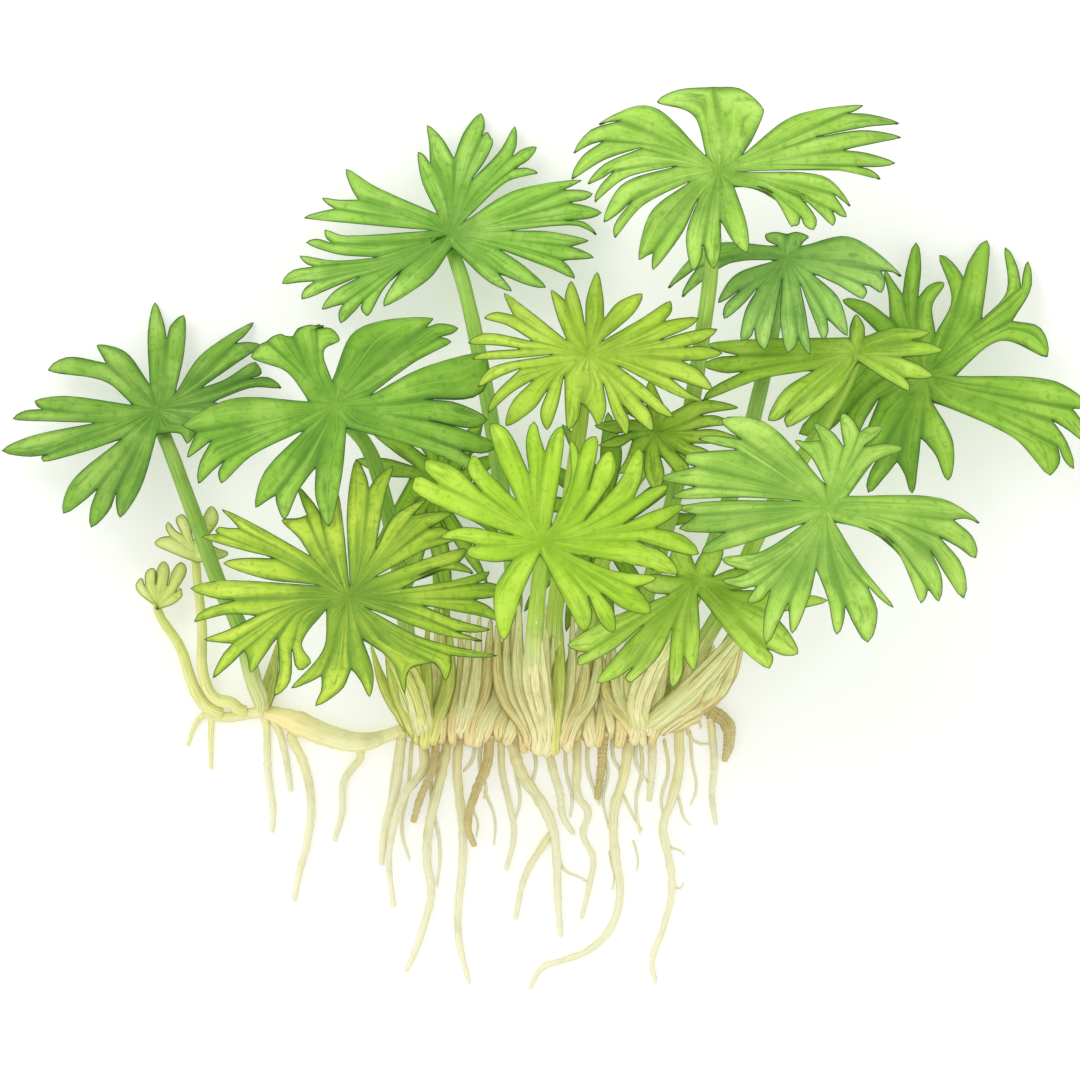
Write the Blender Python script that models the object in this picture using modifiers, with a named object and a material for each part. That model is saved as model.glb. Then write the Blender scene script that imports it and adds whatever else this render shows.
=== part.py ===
"""River buttercup: an uprooted water plant laid flat on the floor, with cut leaves, stalks, a rootstock and roots.

Lengths are metres, +Z is up and the plant rests on Z = 0. Plan points are (x, y) in plan units of 0.1 mm,
x to the right and y down the sheet, so that the whole plant fits a sheet of 1080 units. Heights are millimetres.
"""

import math
from typing import NamedTuple

import bmesh
import bpy
from mathutils import Vector

# Driving sizes
PLANT_WIDTH = 0.108
SHEET_WIDTH = 1080
UNIT = PLANT_WIDTH / SHEET_WIDTH
MM = 0.001
SHEET_CENTRE = (541.5, 540.0)

# Blades
BLADE_THICKNESS = 0.45
BLADE_ROWS = 4
DEEP_NOTCH = 0.5
MERGE = 0.00002

# Stalks and roots
NECK = 0.35
STALK_RADII = (0.85, 0.8, 0.7)
HUB_SETBACK = 4
TUBE_SIDES_SETTING = 1
TUBE_STEPS = 2
LONG_ROUTE = 5
ROOTSTOCK_DEPTH = 2.0
ROOT_FULLNESS = 1.15


class Leaf(NamedTuple):
    """One leaf. Each tooth is (notch before it, left shoulder, tip, right shoulder), clockwise from above.

    bends holds, by number of the notch, the point that its rail passes in an arched lobe. None stands for a
    notch so near the hub that its rail runs straight there.
    """

    hub: tuple
    height: float
    lean: float
    roll: float
    lift: float
    droop: float
    sheath: tuple
    stalk: tuple
    colour: tuple
    teeth: tuple
    bends: dict


LEAVES = {
    "leaf_left": Leaf(
        hub=(158, 409), height=7.2, lean=0.4, roll=0.0, lift=1.2, droop=2.5,
        sheath=(),
        stalk=((254, 682, 3.7), (240, 628, 4.8), (221, 588, 6.0), (200, 530, 7.2), (176, 465, 6.6)),
        colour=(0.32, 0.56, 0.16),
        teeth=(
            ((150, 384), (148, 332), (155, 302), (164, 322)),
            ((167, 338), (171, 325), (184, 315), (185, 350)),
            ((176, 393), (202, 354), (254, 322), (245, 336)),
            ((236, 343), (248, 342), (261, 345), (232, 367)),
            ((202, 388), (224, 380), (256, 362), (262, 374)),
            ((250, 379), (268, 377), (282, 388), (252, 388)),
            ((214, 402), (232, 408), (240, 428), (222, 432)),
            ((200, 424), (196, 434), (188, 444), (180, 434)),
            ((158, 434), (142, 488), (121, 518), (117, 506)),
            ((117, 493), (111, 510), (92, 528), (91, 510)),
            ((98, 489), (88, 499), (64, 514), (72, 482)),
            ((122, 439), (92, 450), (44, 462), (42, 457)),
            ((48, 455), (28, 457), (2, 451), (32, 436)),
            ((95, 423), (58, 422), (13, 419), (24, 411)),
            ((42, 409), (38, 407), (35, 401), (66, 396)),
            ((133, 405), (106, 382), (48, 370), (68, 357)),
            ((106, 363), (101, 354), (97, 345), (126, 352)),
        ),
        bends={},
    ),
    "leaf_upper_left": Leaf(
        hub=(337, 405), height=19.0, lean=0.4, roll=0.0, lift=1.2, droop=2.5,
        sheath=((418, 729, 2.5), (410, 690, 5.6), (408, 656, 8.2)),
        stalk=((408, 650, 8.5), (398, 560, 12.5), (385, 500, 14.5), (368, 448, 15.5)),
        colour=(0.18, 0.41, 0.04),
        teeth=(
            ((333, 381), (358, 330), (434, 319), (430, 325)),
            ((427, 328), (441, 324), (459, 329), (452, 335)),
            ((440, 338), (447, 339), (452, 343), (414, 364)),
            ((371, 396), (424, 368), (486, 354), (482, 394)),
            ((426, 400), (456, 403), (488, 420), (474, 429)),
            ((430, 421), (462, 429), (498, 446), (484, 454)),
            ((462, 451), (474, 460), (480, 474), (430, 452)),
            ((348, 428), (343, 478), (330, 527), (317, 498)),
            ((317, 468), (301, 490), (286, 520), (278, 504)),
            ((277, 496), (269, 501), (257, 508), (266, 472)),
            ((305, 431), (254, 456), (223, 484), (220, 472)),
            ((226, 461), (215, 471), (200, 484), (201, 464)),
            ((213, 441), (202, 450), (189, 458), (196, 436)),
            ((198, 433), (192, 431), (184, 426), (234, 399)),
            ((310, 402), (288, 373), (252, 358), (260, 346)),
            ((268, 342), (274, 337), (284, 335), (290, 337)),
            ((294, 337), (299, 329), (316, 326), (326, 327)),
            ((318, 329), (332, 329), (341, 341), (325, 352)),
        ),
        bends={16: (311, 376), 17: (319, 370)},
    ),
    "leaf_top": Leaf(
        hub=(450, 235), height=7.6, lean=0.4, roll=0.0, lift=1.2, droop=2.5,
        sheath=((536, 732, 2.8), (517, 690, 3.7), (511, 656, 4.6)),
        stalk=((511, 650, 4.7), (514, 600, 6.0), (500, 480, 7.0), (482, 370, 7.0), (465, 290, 6.6)),
        colour=(0.32, 0.59, 0.1),
        teeth=(
            ((437, 214), (422, 182), (418, 152), (424, 155)),
            ((430, 163), (429, 142), (427, 125), (442, 138)),
            ((454, 158), (464, 132), (481, 113), (485, 127)),
            ((482, 136), (487, 132), (493, 140), (486, 160)),
            ((472, 180), (499, 152), (515, 126), (517, 144)),
            ((513, 156), (523, 149), (537, 147), (529, 160)),
            ((515, 169), (526, 168), (538, 173), (506, 183)),
            ((464, 222), (514, 191), (582, 180), (573, 186)),
            ((564, 190), (580, 190), (593, 194), (586, 200)),
            ((570, 203), (586, 206), (602, 213), (590, 219)),
            ((566, 221), (584, 222), (597, 235), (575, 226)),
            ((511, 231), (550, 232), (589, 241), (579, 245)),
            ((571, 247), (581, 250), (594, 258), (580, 260)),
            ((563, 261), (570, 268), (575, 279), (550, 269)),
            ((500, 250), (524, 266), (546, 288), (528, 286)),
            ((499, 274), (505, 281), (512, 292), (488, 282)),
            ((452, 248), (430, 279), (384, 307), (386, 296)),
            ((402, 270), (384, 290), (368, 317), (361, 309)),
            ((363, 302), (357, 310), (341, 324), (339, 313)),
            ((343, 305), (335, 307), (322, 310), (334, 292)),
            ((360, 277), (334, 288), (302, 300), (304, 290)),
            ((314, 282), (300, 283), (282, 284), (292, 271)),
            ((313, 267), (306, 264), (300, 256), (335, 261)),
            ((378, 258), (338, 255), (306, 243), (317, 239)),
            ((331, 243), (326, 238), (325, 230), (345, 236)),
            ((431, 231), (372, 226), (304, 218), (316, 213)),
            ((334, 209), (328, 205), (322, 198), (338, 200)),
            ((358, 200), (351, 188), (346, 169), (376, 187)),
        ),
        bends={20: (390, 269), 21: (387, 266), 22: (388, 262), 23: (414, 246)},
    ),
    "leaf_middle": Leaf(
        hub=(588, 356), height=21.0, lean=0.4, roll=0.0, lift=1.2, droop=2.5,
        sheath=((549, 732, 3.0), (551, 690, 4.9), (552, 656, 6.9)),
        stalk=((552, 650, 7.4), (556, 600, 11.0), (572, 480, 16.0)),
        colour=(0.37, 0.57, 0.055),
        teeth=(
            ((585, 326), (586, 300), (597, 273), (603, 298)),
            ((604, 319), (618, 303), (642, 295), (634, 314)),
            ((602, 342), (640, 320), (670, 302), (671, 313)),
            ((664, 322), (680, 319), (698, 319), (688, 329)),
            ((660, 341), (690, 332), (717, 330), (704, 342)),
            ((684, 348), (702, 347), (722, 354), (704, 361)),
            ((682, 362), (699, 371), (712, 391), (694, 387)),
            ((670, 379), (688, 393), (704, 402), (679, 398)),
            ((618, 367), (649, 391), (673, 418), (657, 414)),
            ((640, 401), (650, 413), (652, 432), (637, 422)),
            ((622, 406), (629, 421), (626, 436), (614, 420)),
            ((603, 385), (606, 410), (598, 427), (590, 414)),
            ((581, 404), (579, 419), (568, 431), (565, 412)),
            ((564, 377), (557, 410), (547, 431), (540, 414)),
            ((548, 390), (534, 410), (506, 427), (512, 403)),
            ((533, 381), (512, 394), (488, 414), (494, 396)),
            ((520, 370), (502, 377), (478, 388), (492, 368)),
            ((552, 356), (508, 360), (472, 360), (484, 353)),
            ((520, 350), (500, 347), (468, 344), (486, 334)),
            ((532, 342), (508, 327), (484, 319), (496, 313)),
            ((513, 316), (508, 306), (504, 294), (530, 312)),
            ((566, 341), (556, 315), (551, 291), (559, 296)),
            ((565, 301), (565, 295), (571, 282), (580, 302)),
        ),
        bends={},
    ),
    "leaf_lower_left": Leaf(
        hub=(350, 597), height=25.0, lean=0.45, roll=0.0, lift=1.2, droop=2.5,
        sheath=((424, 729, 3.6), (416, 695, 8.6), (405, 667, 13.6)),
        stalk=((401, 662, 14.6), (375, 625, 20.0)),
        colour=(0.34, 0.54, 0.06),
        teeth=(
            ((351, 586), (348, 510), (357, 459), (368, 478)),
            ((370, 488), (378, 477), (394, 466), (386, 496)),
            ((377, 549), (394, 516), (428, 499), (418, 511)),
            ((414, 515), (432, 512), (453, 513), (440, 523)),
            ((430, 528), (444, 527), (459, 538), (424, 551)),
            ((376, 577), (430, 557), (467, 548), (464, 558)),
            ((460, 562), (466, 565), (474, 573), (440, 570)),
            ((403, 588), (453, 580), (490, 571), (486, 579)),
            ((478, 583), (490, 582), (504, 588), (494, 597)),
            ((475, 599), (490, 606), (502, 621), (482, 616)),
            ((424, 605), (458, 619), (491, 629), (476, 632)),
            ((458, 631), (470, 635), (483, 640), (440, 634)),
            ((367, 607), (424, 637), (498, 655), (474, 657)),
            ((452, 655), (452, 667), (446, 680), (440, 668)),
            ((434, 662), (411, 668), (406, 693), (392, 660)),
            ((364, 638), (375, 672), (371, 696), (362, 680)),
            ((353, 668), (344, 688), (317, 705), (323, 688)),
            ((323, 675), (312, 681), (293, 687), (325, 648)),
            ((328, 609), (304, 642), (313, 662), (300, 669)),
            ((294, 649), (292, 681), (276, 695), (281, 668)),
            ((279, 637), (266, 656), (253, 672), (249, 656)),
            ((246, 650), (236, 661), (215, 677), (224, 655)),
            ((234, 643), (222, 642), (206, 639), (230, 629)),
            ((258, 615), (230, 614), (196, 621), (206, 609)),
            ((236, 600), (216, 598), (192, 588), (226, 580)),
            ((320, 585), (264, 578), (225, 563), (242, 558)),
            ((277, 558), (240, 549), (203, 537), (214, 534)),
            ((219, 534), (217, 531), (220, 527), (230, 528)),
            ((240, 528), (234, 521), (223, 509), (256, 524)),
            ((311, 555), (300, 538), (283, 520), (300, 518)),
            ((308, 515), (303, 503), (299, 486), (316, 504)),
            ((322, 514), (328, 504), (338, 492), (344, 520)),
        ),
        bends={12: None, 13: (405, 638), 14: (396, 642), 18: None, 19: (303, 613), 20: (299, 609),
               21: (297, 606), 22: (296, 604), 23: (297, 601), 26: (314, 577), 27: (298, 563),
               28: (305, 560)},
    ),
    "leaf_centre": Leaf(
        hub=(542, 541), height=31.0, lean=0.4, roll=0.0, lift=1.2, droop=2.5,
        sheath=((545, 732, 4.0), (537, 690, 9.0), (533, 660, 14.9)),
        stalk=((533, 654, 16.2), (538, 590, 25.0)),
        colour=(0.42, 0.67, 0.04),
        teeth=(
            ((516, 500), (497, 456), (491, 424), (509, 432)),
            ((529, 473), (526, 441), (534, 422), (541, 440)),
            ((545, 452), (551, 436), (562, 427), (561, 468)),
            ((551, 527), (570, 480), (570, 441), (576, 446)),
            ((579, 454), (585, 441), (596, 437), (596, 458)),
            ((588, 490), (597, 463), (610, 451), (614, 476)),
            ((584, 521), (618, 482), (639, 448), (642, 474)),
            ((634, 498), (648, 489), (668, 486), (652, 503)),
            ((623, 524), (655, 510), (683, 505), (670, 519)),
            ((655, 528), (682, 535), (698, 554), (674, 552)),
            ((637, 541), (664, 553), (677, 574), (640, 566)),
            ((572, 554), (612, 570), (656, 577), (646, 584)),
            ((635, 587), (644, 596), (650, 612), (624, 609)),
            ((601, 593), (613, 609), (613, 632), (598, 620)),
            ((588, 596), (592, 615), (584, 631), (564, 600)),
            ((540, 554), (523, 592), (504, 640), (494, 592)),
            ((512, 560), (492, 562), (467, 554), (470, 546)),
            ((476, 545), (462, 541), (441, 537), (466, 527)),
            ((513, 535), (460, 516), (412, 488), (418, 476)),
            ((438, 484), (425, 470), (426, 461), (456, 468)),
            ((482, 492), (468, 472), (474, 456), (490, 474)),
        ),
        bends={},
    ),
    "leaf_top_right": Leaf(
        hub=(718, 173), height=20.5, lean=0.4, roll=0.0, lift=1.2, droop=2.5,
        sheath=((636, 725, 2.5), (628, 690, 4.4), (632, 656, 5.4)),
        stalk=((633, 650, 5.6), (642, 610, 6.7), (668, 520, 8.5), (690, 410, 11.0), (703, 325, 16.2),
               (709, 280, 17.6), (713, 225, 18.0)),
        colour=(0.26, 0.51, 0.06),
        teeth=(
            ((705, 158), (692, 117), (656, 104), (677, 92)),
            ((712, 89), (740, 91), (763, 112), (752, 140)),
            ((741, 157), (792, 118), (862, 107), (852, 114)),
            ((846, 115), (868, 116), (898, 125), (866, 129)),
            ((815, 139), (862, 132), (900, 139), (880, 144)),
            ((842, 152), (866, 155), (894, 165), (878, 169)),
            ((856, 169), (868, 171), (879, 181), (830, 172)),
            ((737, 174), (822, 178), (849, 208), (842, 204)),
            ((832, 196), (841, 209), (845, 219), (838, 218)),
            ((831, 213), (834, 221), (831, 228), (822, 220)),
            ((799, 198), (815, 221), (812, 232), (803, 228)),
            ((799, 219), (797, 227), (790, 229), (768, 196)),
            ((733, 188), (746, 228), (746, 255), (732, 244)),
            ((719, 222), (720, 250), (713, 271), (706, 262)),
            ((702, 247), (700, 262), (692, 273), (685, 238)),
            ((697, 201), (681, 236), (652, 272), (651, 262)),
            ((652, 255), (646, 258), (638, 262), (650, 214)),
            ((688, 184), (642, 208), (614, 240), (614, 226)),
            ((631, 203), (618, 216), (603, 224), (622, 186)),
            ((676, 168), (626, 180), (594, 204), (598, 190)),
            ((613, 173), (603, 180), (587, 186), (604, 166)),
            ((641, 150), (604, 162), (571, 181), (582, 158)),
            ((603, 143), (590, 147), (573, 155), (590, 132)),
            ((619, 123), (606, 125), (598, 126), (650, 108)),
        ),
        bends={6: (764, 166), 8: (770, 181), 9: (768, 183), 10: (765, 185), 11: (764, 186), 12: None,
               20: (672, 164), 22: (670, 149), 23: (676, 146)},
    ),
    "leaf_right_drooping": Leaf(
        hub=(785, 258), height=14.5, lean=0.5, roll=0.0, lift=1.2, droop=3.5,
        sheath=((642, 725, 3.0), (650, 690, 4.7), (664, 656, 5.8)),
        stalk=((667, 650, 6.0), (691, 600, 7.5), (735, 480, 8.6), (757, 400, 9.2), (772, 330, 10.5)),
        colour=(0.22, 0.45, 0.1),
        teeth=(
            ((776, 247), (766, 242), (764, 236), (774, 233)),
            ((786, 235), (796, 233), (808, 238), (803, 243)),
            ((800, 247), (850, 238), (901, 277), (890, 273)),
            ((880, 272), (884, 281), (880, 294), (868, 287)),
            ((862, 286), (866, 292), (862, 300), (836, 286)),
            ((812, 275), (838, 300), (846, 337), (834, 328)),
            ((826, 320), (827, 333), (822, 341), (813, 322)),
            ((799, 285), (806, 322), (809, 356), (800, 346)),
            ((797, 338), (795, 347), (786, 354), (779, 322)),
            ((781, 280), (772, 326), (764, 351), (755, 342)),
            ((753, 330), (750, 338), (740, 342), (744, 312)),
            ((756, 290), (741, 307), (723, 320), (724, 306)),
            ((738, 292), (727, 300), (717, 304), (734, 276)),
            ((776, 261), (728, 265), (681, 298), (686, 284)),
            ((696, 269), (683, 279), (667, 289), (708, 246)),
        ),
        bends={14: (750, 253)},
    ),
    "leaf_middle_hidden": Leaf(
        hub=(655, 432), height=14.2, lean=0.4, roll=0.0, lift=1.2, droop=2.5,
        sheath=((554, 732, 2.4), (572, 690, 3.9), (579, 656, 5.1)),
        stalk=((580, 650, 5.3), (590, 610, 6.9), (615, 520, 9.5)),
        colour=(0.32, 0.55, 0.05),
        teeth=(
            ((668, 414), (700, 400), (738, 408), (712, 413)),
            ((700, 416), (716, 416), (732, 424), (712, 427)),
            ((694, 430), (716, 430), (742, 441), (714, 444)),
            ((690, 444), (706, 450), (722, 464), (700, 464)),
            ((676, 452), (688, 466), (692, 484), (676, 474)),
            ((660, 456), (664, 476), (656, 492), (644, 474)),
            ((644, 452), (634, 468), (618, 474), (626, 458)),
            ((632, 440), (618, 448), (598, 446), (612, 438)),
            ((630, 432), (614, 434), (594, 426), (616, 420)),
            ((636, 420), (624, 412), (612, 396), (632, 402)),
            ((648, 412), (644, 398), (650, 380), (660, 398)),
        ),
        bends={},
    ),
    "leaf_right_small": Leaf(
        hub=(855, 353), height=12.8, lean=0.4, roll=0.0, lift=1.2, droop=2.5,
        sheath=((648, 725, 2.4), (676, 690, 4.0), (694, 656, 5.0)),
        stalk=((698, 650, 5.1), (724, 605, 6.1), (775, 500, 8.0), (825, 420, 10.6)),
        colour=(0.35, 0.6, 0.05),
        teeth=(
            ((848, 338), (849, 326), (855, 315), (863, 326)),
            ((864, 337), (892, 328), (929, 333), (920, 339)),
            ((911, 341), (926, 343), (942, 351), (926, 356)),
            ((901, 358), (918, 365), (932, 377), (918, 380)),
            ((904, 379), (908, 384), (908, 392), (882, 379)),
            ((857, 362), (838, 394), (786, 428), (783, 419)),
            ((789, 411), (779, 420), (767, 421), (782, 391)),
            ((812, 371), (760, 380), (702, 401), (710, 389)),
            ((742, 372), (725, 374), (702, 366), (716, 358)),
            ((736, 356), (720, 352), (706, 345), (742, 340)),
        ),
        bends={},
    ),
    "leaf_far_right": Leaf(
        hub=(925, 375), height=8.0, lean=0.4, roll=0.0, lift=1.2, droop=2.5,
        sheath=((654, 724, 2.0), (698, 694, 3.9), (721, 656, 5.4)),
        stalk=((726, 650, 5.6), (752, 612, 6.4), (820, 520, 6.3), (880, 440, 6.0)),
        colour=(0.22, 0.46, 0.05),
        teeth=(
            ((880, 336), (862, 318), (842, 300), (866, 302)),
            ((889, 318), (888, 296), (884, 270), (893, 281)),
            ((902, 294), (906, 268), (916, 242), (921, 264)),
            ((918, 297), (929, 285), (944, 283), (932, 306)),
            ((935, 333), (951, 300), (939, 255), (953, 263)),
            ((963, 277), (969, 260), (987, 240), (988, 268)),
            ((981, 320), (1006, 292), (1005, 247), (1017, 266)),
            ((1021, 287), (1023, 272), (1028, 261), (1031, 288)),
            ((1012, 321), (1040, 328), (1047, 357), (1000, 341)),
            ((954, 376), (1050, 380), (1086, 404), (1080, 409)),
            ((1072, 409), (1080, 420), (1085, 441), (1066, 430)),
            ((1051, 420), (1066, 442), (1073, 469), (1063, 461)),
            ((1057, 447), (1059, 462), (1049, 476), (1012, 438)),
            ((931, 401), (952, 442), (947, 481), (934, 455)),
            ((920, 438), (917, 465), (911, 494), (903, 474)),
            ((896, 462), (885, 476), (867, 493), (868, 474)),
            ((884, 446), (874, 452), (862, 450), (866, 430)),
            ((878, 399), (866, 418), (852, 440), (846, 424)),
            ((846, 414), (826, 432), (798, 434), (822, 403)),
        ),
        bends={},
    ),
    "leaf_lower_right": Leaf(
        hub=(825, 508), height=26.0, lean=0.4, roll=0.0, lift=1.2, droop=2.5,
        sheath=((648, 724, 5.0), (684, 695, 8.0), (710, 669, 9.5)),
        stalk=((715, 664, 9.9), (738, 637, 12.2), (775, 590, 14.8), (800, 550, 19.0)),
        colour=(0.36, 0.6, 0.08),
        teeth=(
            ((824, 486), (810, 459), (793, 441), (804, 442)),
            ((818, 441), (815, 433), (812, 424), (830, 432)),
            ((842, 447), (839, 430), (840, 414), (852, 421)),
            ((858, 432), (866, 427), (880, 428), (873, 439)),
            ((862, 447), (881, 444), (901, 449), (870, 464)),
            ((846, 496), (937, 498), (977, 523), (963, 519)),
            ((951, 520), (970, 537), (973, 558), (955, 547)),
            ((937, 537), (960, 566), (961, 598), (944, 577)),
            ((928, 551), (939, 577), (936, 601), (929, 594)),
            ((925, 589), (923, 597), (918, 603), (886, 541)),
            ((832, 521), (858, 564), (891, 607), (879, 600)),
            ((866, 587), (875, 612), (865, 642), (850, 622)),
            ((843, 606), (841, 622), (834, 634), (825, 598)),
            ((814, 569), (807, 598), (790, 633), (787, 618)),
            ((786, 603), (778, 620), (764, 644), (762, 616)),
            ((768, 590), (760, 600), (746, 602), (750, 592)),
            ((754, 586), (740, 588), (720, 580), (736, 576)),
            ((746, 571), (734, 568), (720, 559), (760, 551)),
            ((803, 523), (756, 540), (700, 553), (708, 542)),
            ((724, 532), (706, 533), (678, 529), (688, 521)),
            ((694, 515), (686, 513), (677, 508), (716, 501)),
            ((799, 501), (744, 498), (671, 498), (680, 491)),
            ((694, 487), (680, 485), (660, 479), (674, 472)),
            ((694, 467), (684, 463), (684, 456), (704, 452)),
            ((735, 450), (716, 446), (697, 439), (714, 436)),
            ((740, 440), (728, 431), (720, 420), (766, 424)),
        ),
        bends={6: (893, 514), 7: (890, 519), 8: (887, 524), 9: (885, 529), 10: None},
    ),
    "leaf_low_small": Leaf(
        hub=(696, 578), height=19.0, lean=0.4, roll=0.0, lift=1.2, droop=2.5,
        sheath=((640, 724, 5.0), (638, 697, 7.8), (648, 673, 10.6)),
        stalk=((652, 668, 11.2), (668, 645, 14.0)),
        colour=(0.42, 0.66, 0.07),
        teeth=(
            ((697, 594), (699, 640), (693, 670), (685, 661)),
            ((683, 656), (681, 675), (671, 687), (668, 668)),
            ((671, 628), (658, 656), (629, 682), (624, 677)),
            ((632, 667), (615, 678), (596, 682), (612, 658)),
            ((643, 624), (612, 650), (578, 665), (578, 656)),
            ((586, 652), (578, 651), (567, 645), (600, 622)),
            ((668, 594), (650, 592), (636, 580), (652, 574)),
            ((676, 576), (668, 562), (676, 546), (688, 552)),
            ((694, 564), (702, 552), (722, 548), (720, 562)),
            ((712, 576), (736, 568), (768, 578), (746, 588)),
            ((730, 590), (780, 590), (827, 600), (806, 607)),
            ((772, 613), (788, 632), (797, 653), (782, 655)),
            ((766, 648), (772, 656), (768, 668), (736, 644)),
        ),
        bends={},
    ),
    "leaf_left_hidden": Leaf(
        hub=(438, 485), height=3.4, lean=0.06, roll=0.0, lift=1.0, droop=1.6,
        sheath=((433, 729, 2.2), (441, 690, 2.4), (444, 656, 1.9)),
        stalk=((444, 649, 1.85), (441, 600, 1.2)),
        colour=(0.24, 0.46, 0.035),
        teeth=(
            ((410, 478), (386, 476), (356, 460), (384, 458)),
            ((414, 466), (394, 452), (372, 432), (400, 438)),
            ((426, 456), (412, 434), (400, 408), (424, 422)),
            ((438, 454), (432, 430), (438, 402), (454, 424)),
            ((450, 460), (458, 440), (482, 420), (478, 444)),
            ((462, 470), (478, 458), (500, 456), (484, 474)),
            ((466, 484), (482, 482), (503, 494), (484, 500)),
            ((462, 498), (480, 508), (500, 536), (474, 522)),
            ((452, 510), (468, 536), (488, 584), (458, 548)),
            ((440, 516), (450, 552), (450, 608), (432, 556)),
            ((426, 512), (426, 548), (408, 592), (408, 546)),
            ((416, 502), (402, 530), (370, 560), (386, 522)),
        ),
        bends={},
    ),
    "leaf_centre_low": Leaf(
        hub=(602, 520), height=3.4, lean=0.0, roll=0.0, lift=0.9, droop=1.4,
        sheath=((557, 732, 1.8), (574, 690, 1.7), (587, 655, 1.4)),
        stalk=((588, 649, 1.35), (592, 600, 1.25)),
        colour=(0.22, 0.44, 0.035),
        teeth=(
            ((574, 514), (552, 512), (514, 500), (550, 496)),
            ((578, 500), (558, 484), (526, 456), (566, 470)),
            ((588, 492), (576, 462), (562, 424), (592, 456)),
            ((602, 490), (600, 452), (608, 412), (622, 452)),
            ((614, 494), (634, 464), (666, 430), (650, 470)),
            ((626, 506), (654, 484), (696, 470), (662, 498)),
            ((632, 520), (664, 512), (708, 518), (666, 528)),
            ((618, 544), (638, 572), (662, 616), (624, 578)),
            ((606, 550), (612, 584), (614, 634), (596, 586)),
            ((594, 548), (586, 582), (566, 632), (570, 576)),
            ((584, 540), (564, 568), (524, 612), (550, 556)),
            ((574, 530), (548, 546), (514, 566), (542, 530)),
        ),
        bends={},
    ),
    "young_leaf_left": Leaf(
        hub=(158, 606), height=3.2, lean=0.1, roll=0.0, lift=0.3, droop=0.6,
        sheath=(),
        stalk=((200, 699, 1.2), (191, 680, 1.6), (181, 649, 1.8)),
        colour=(0.72, 0.8, 0.27),
        teeth=(
            ((160, 609), (140, 594), (136, 584), (142, 578)),
            ((145, 585), (146, 572), (154, 568), (157, 576)),
            ((156, 584), (157, 570), (164, 561), (170, 570)),
            ((168, 585), (173, 570), (182, 562), (187, 572)),
            ((176, 592), (181, 588), (183, 594), (174, 604)),
        ),
        bends={},
    ),
    "young_leaf_right": Leaf(
        hub=(196, 556), height=4.6, lean=0.1, roll=0.0, lift=0.3, droop=0.6,
        sheath=(),
        stalk=((231, 703, 1.6), (216, 699, 1.8), (206, 684, 2.0), (202, 623, 2.8)),
        colour=(0.72, 0.8, 0.27),
        teeth=(
            ((197, 563), (170, 552), (155, 543), (162, 537)),
            ((170, 536), (166, 528), (168, 522), (176, 530)),
            ((182, 534), (176, 520), (182, 514), (190, 524)),
            ((194, 540), (203, 518), (212, 506), (219, 520)),
            ((206, 540), (218, 548), (229, 553), (218, 560)),
        ),
        bends={},
    ),
}
RESTING_LEAVES = ("leaf_left", "leaf_top", "leaf_far_right")
YOUNG_LEAVES = ("young_leaf_left", "young_leaf_right")
YOUNG_STALK_RADII = (0.62, 0.55, 0.42)


class Tube(NamedTuple):
    """A tapered stem or root: its route as (x, y, height in mm), and its radius at each point of the route."""

    route: tuple
    radii: tuple
    colour: tuple


CREAM = (0.84, 0.84, 0.50)
TAN = (0.62, 0.50, 0.24)
OLIVE = (0.42, 0.46, 0.16)
YELLOW = (0.90, 0.75, 0.26)
PALE_YELLOW = (0.90, 0.88, 0.45)
CROWN = (0.70, 0.72, 0.26)
BROWN = (0.42, 0.29, 0.12)

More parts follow.
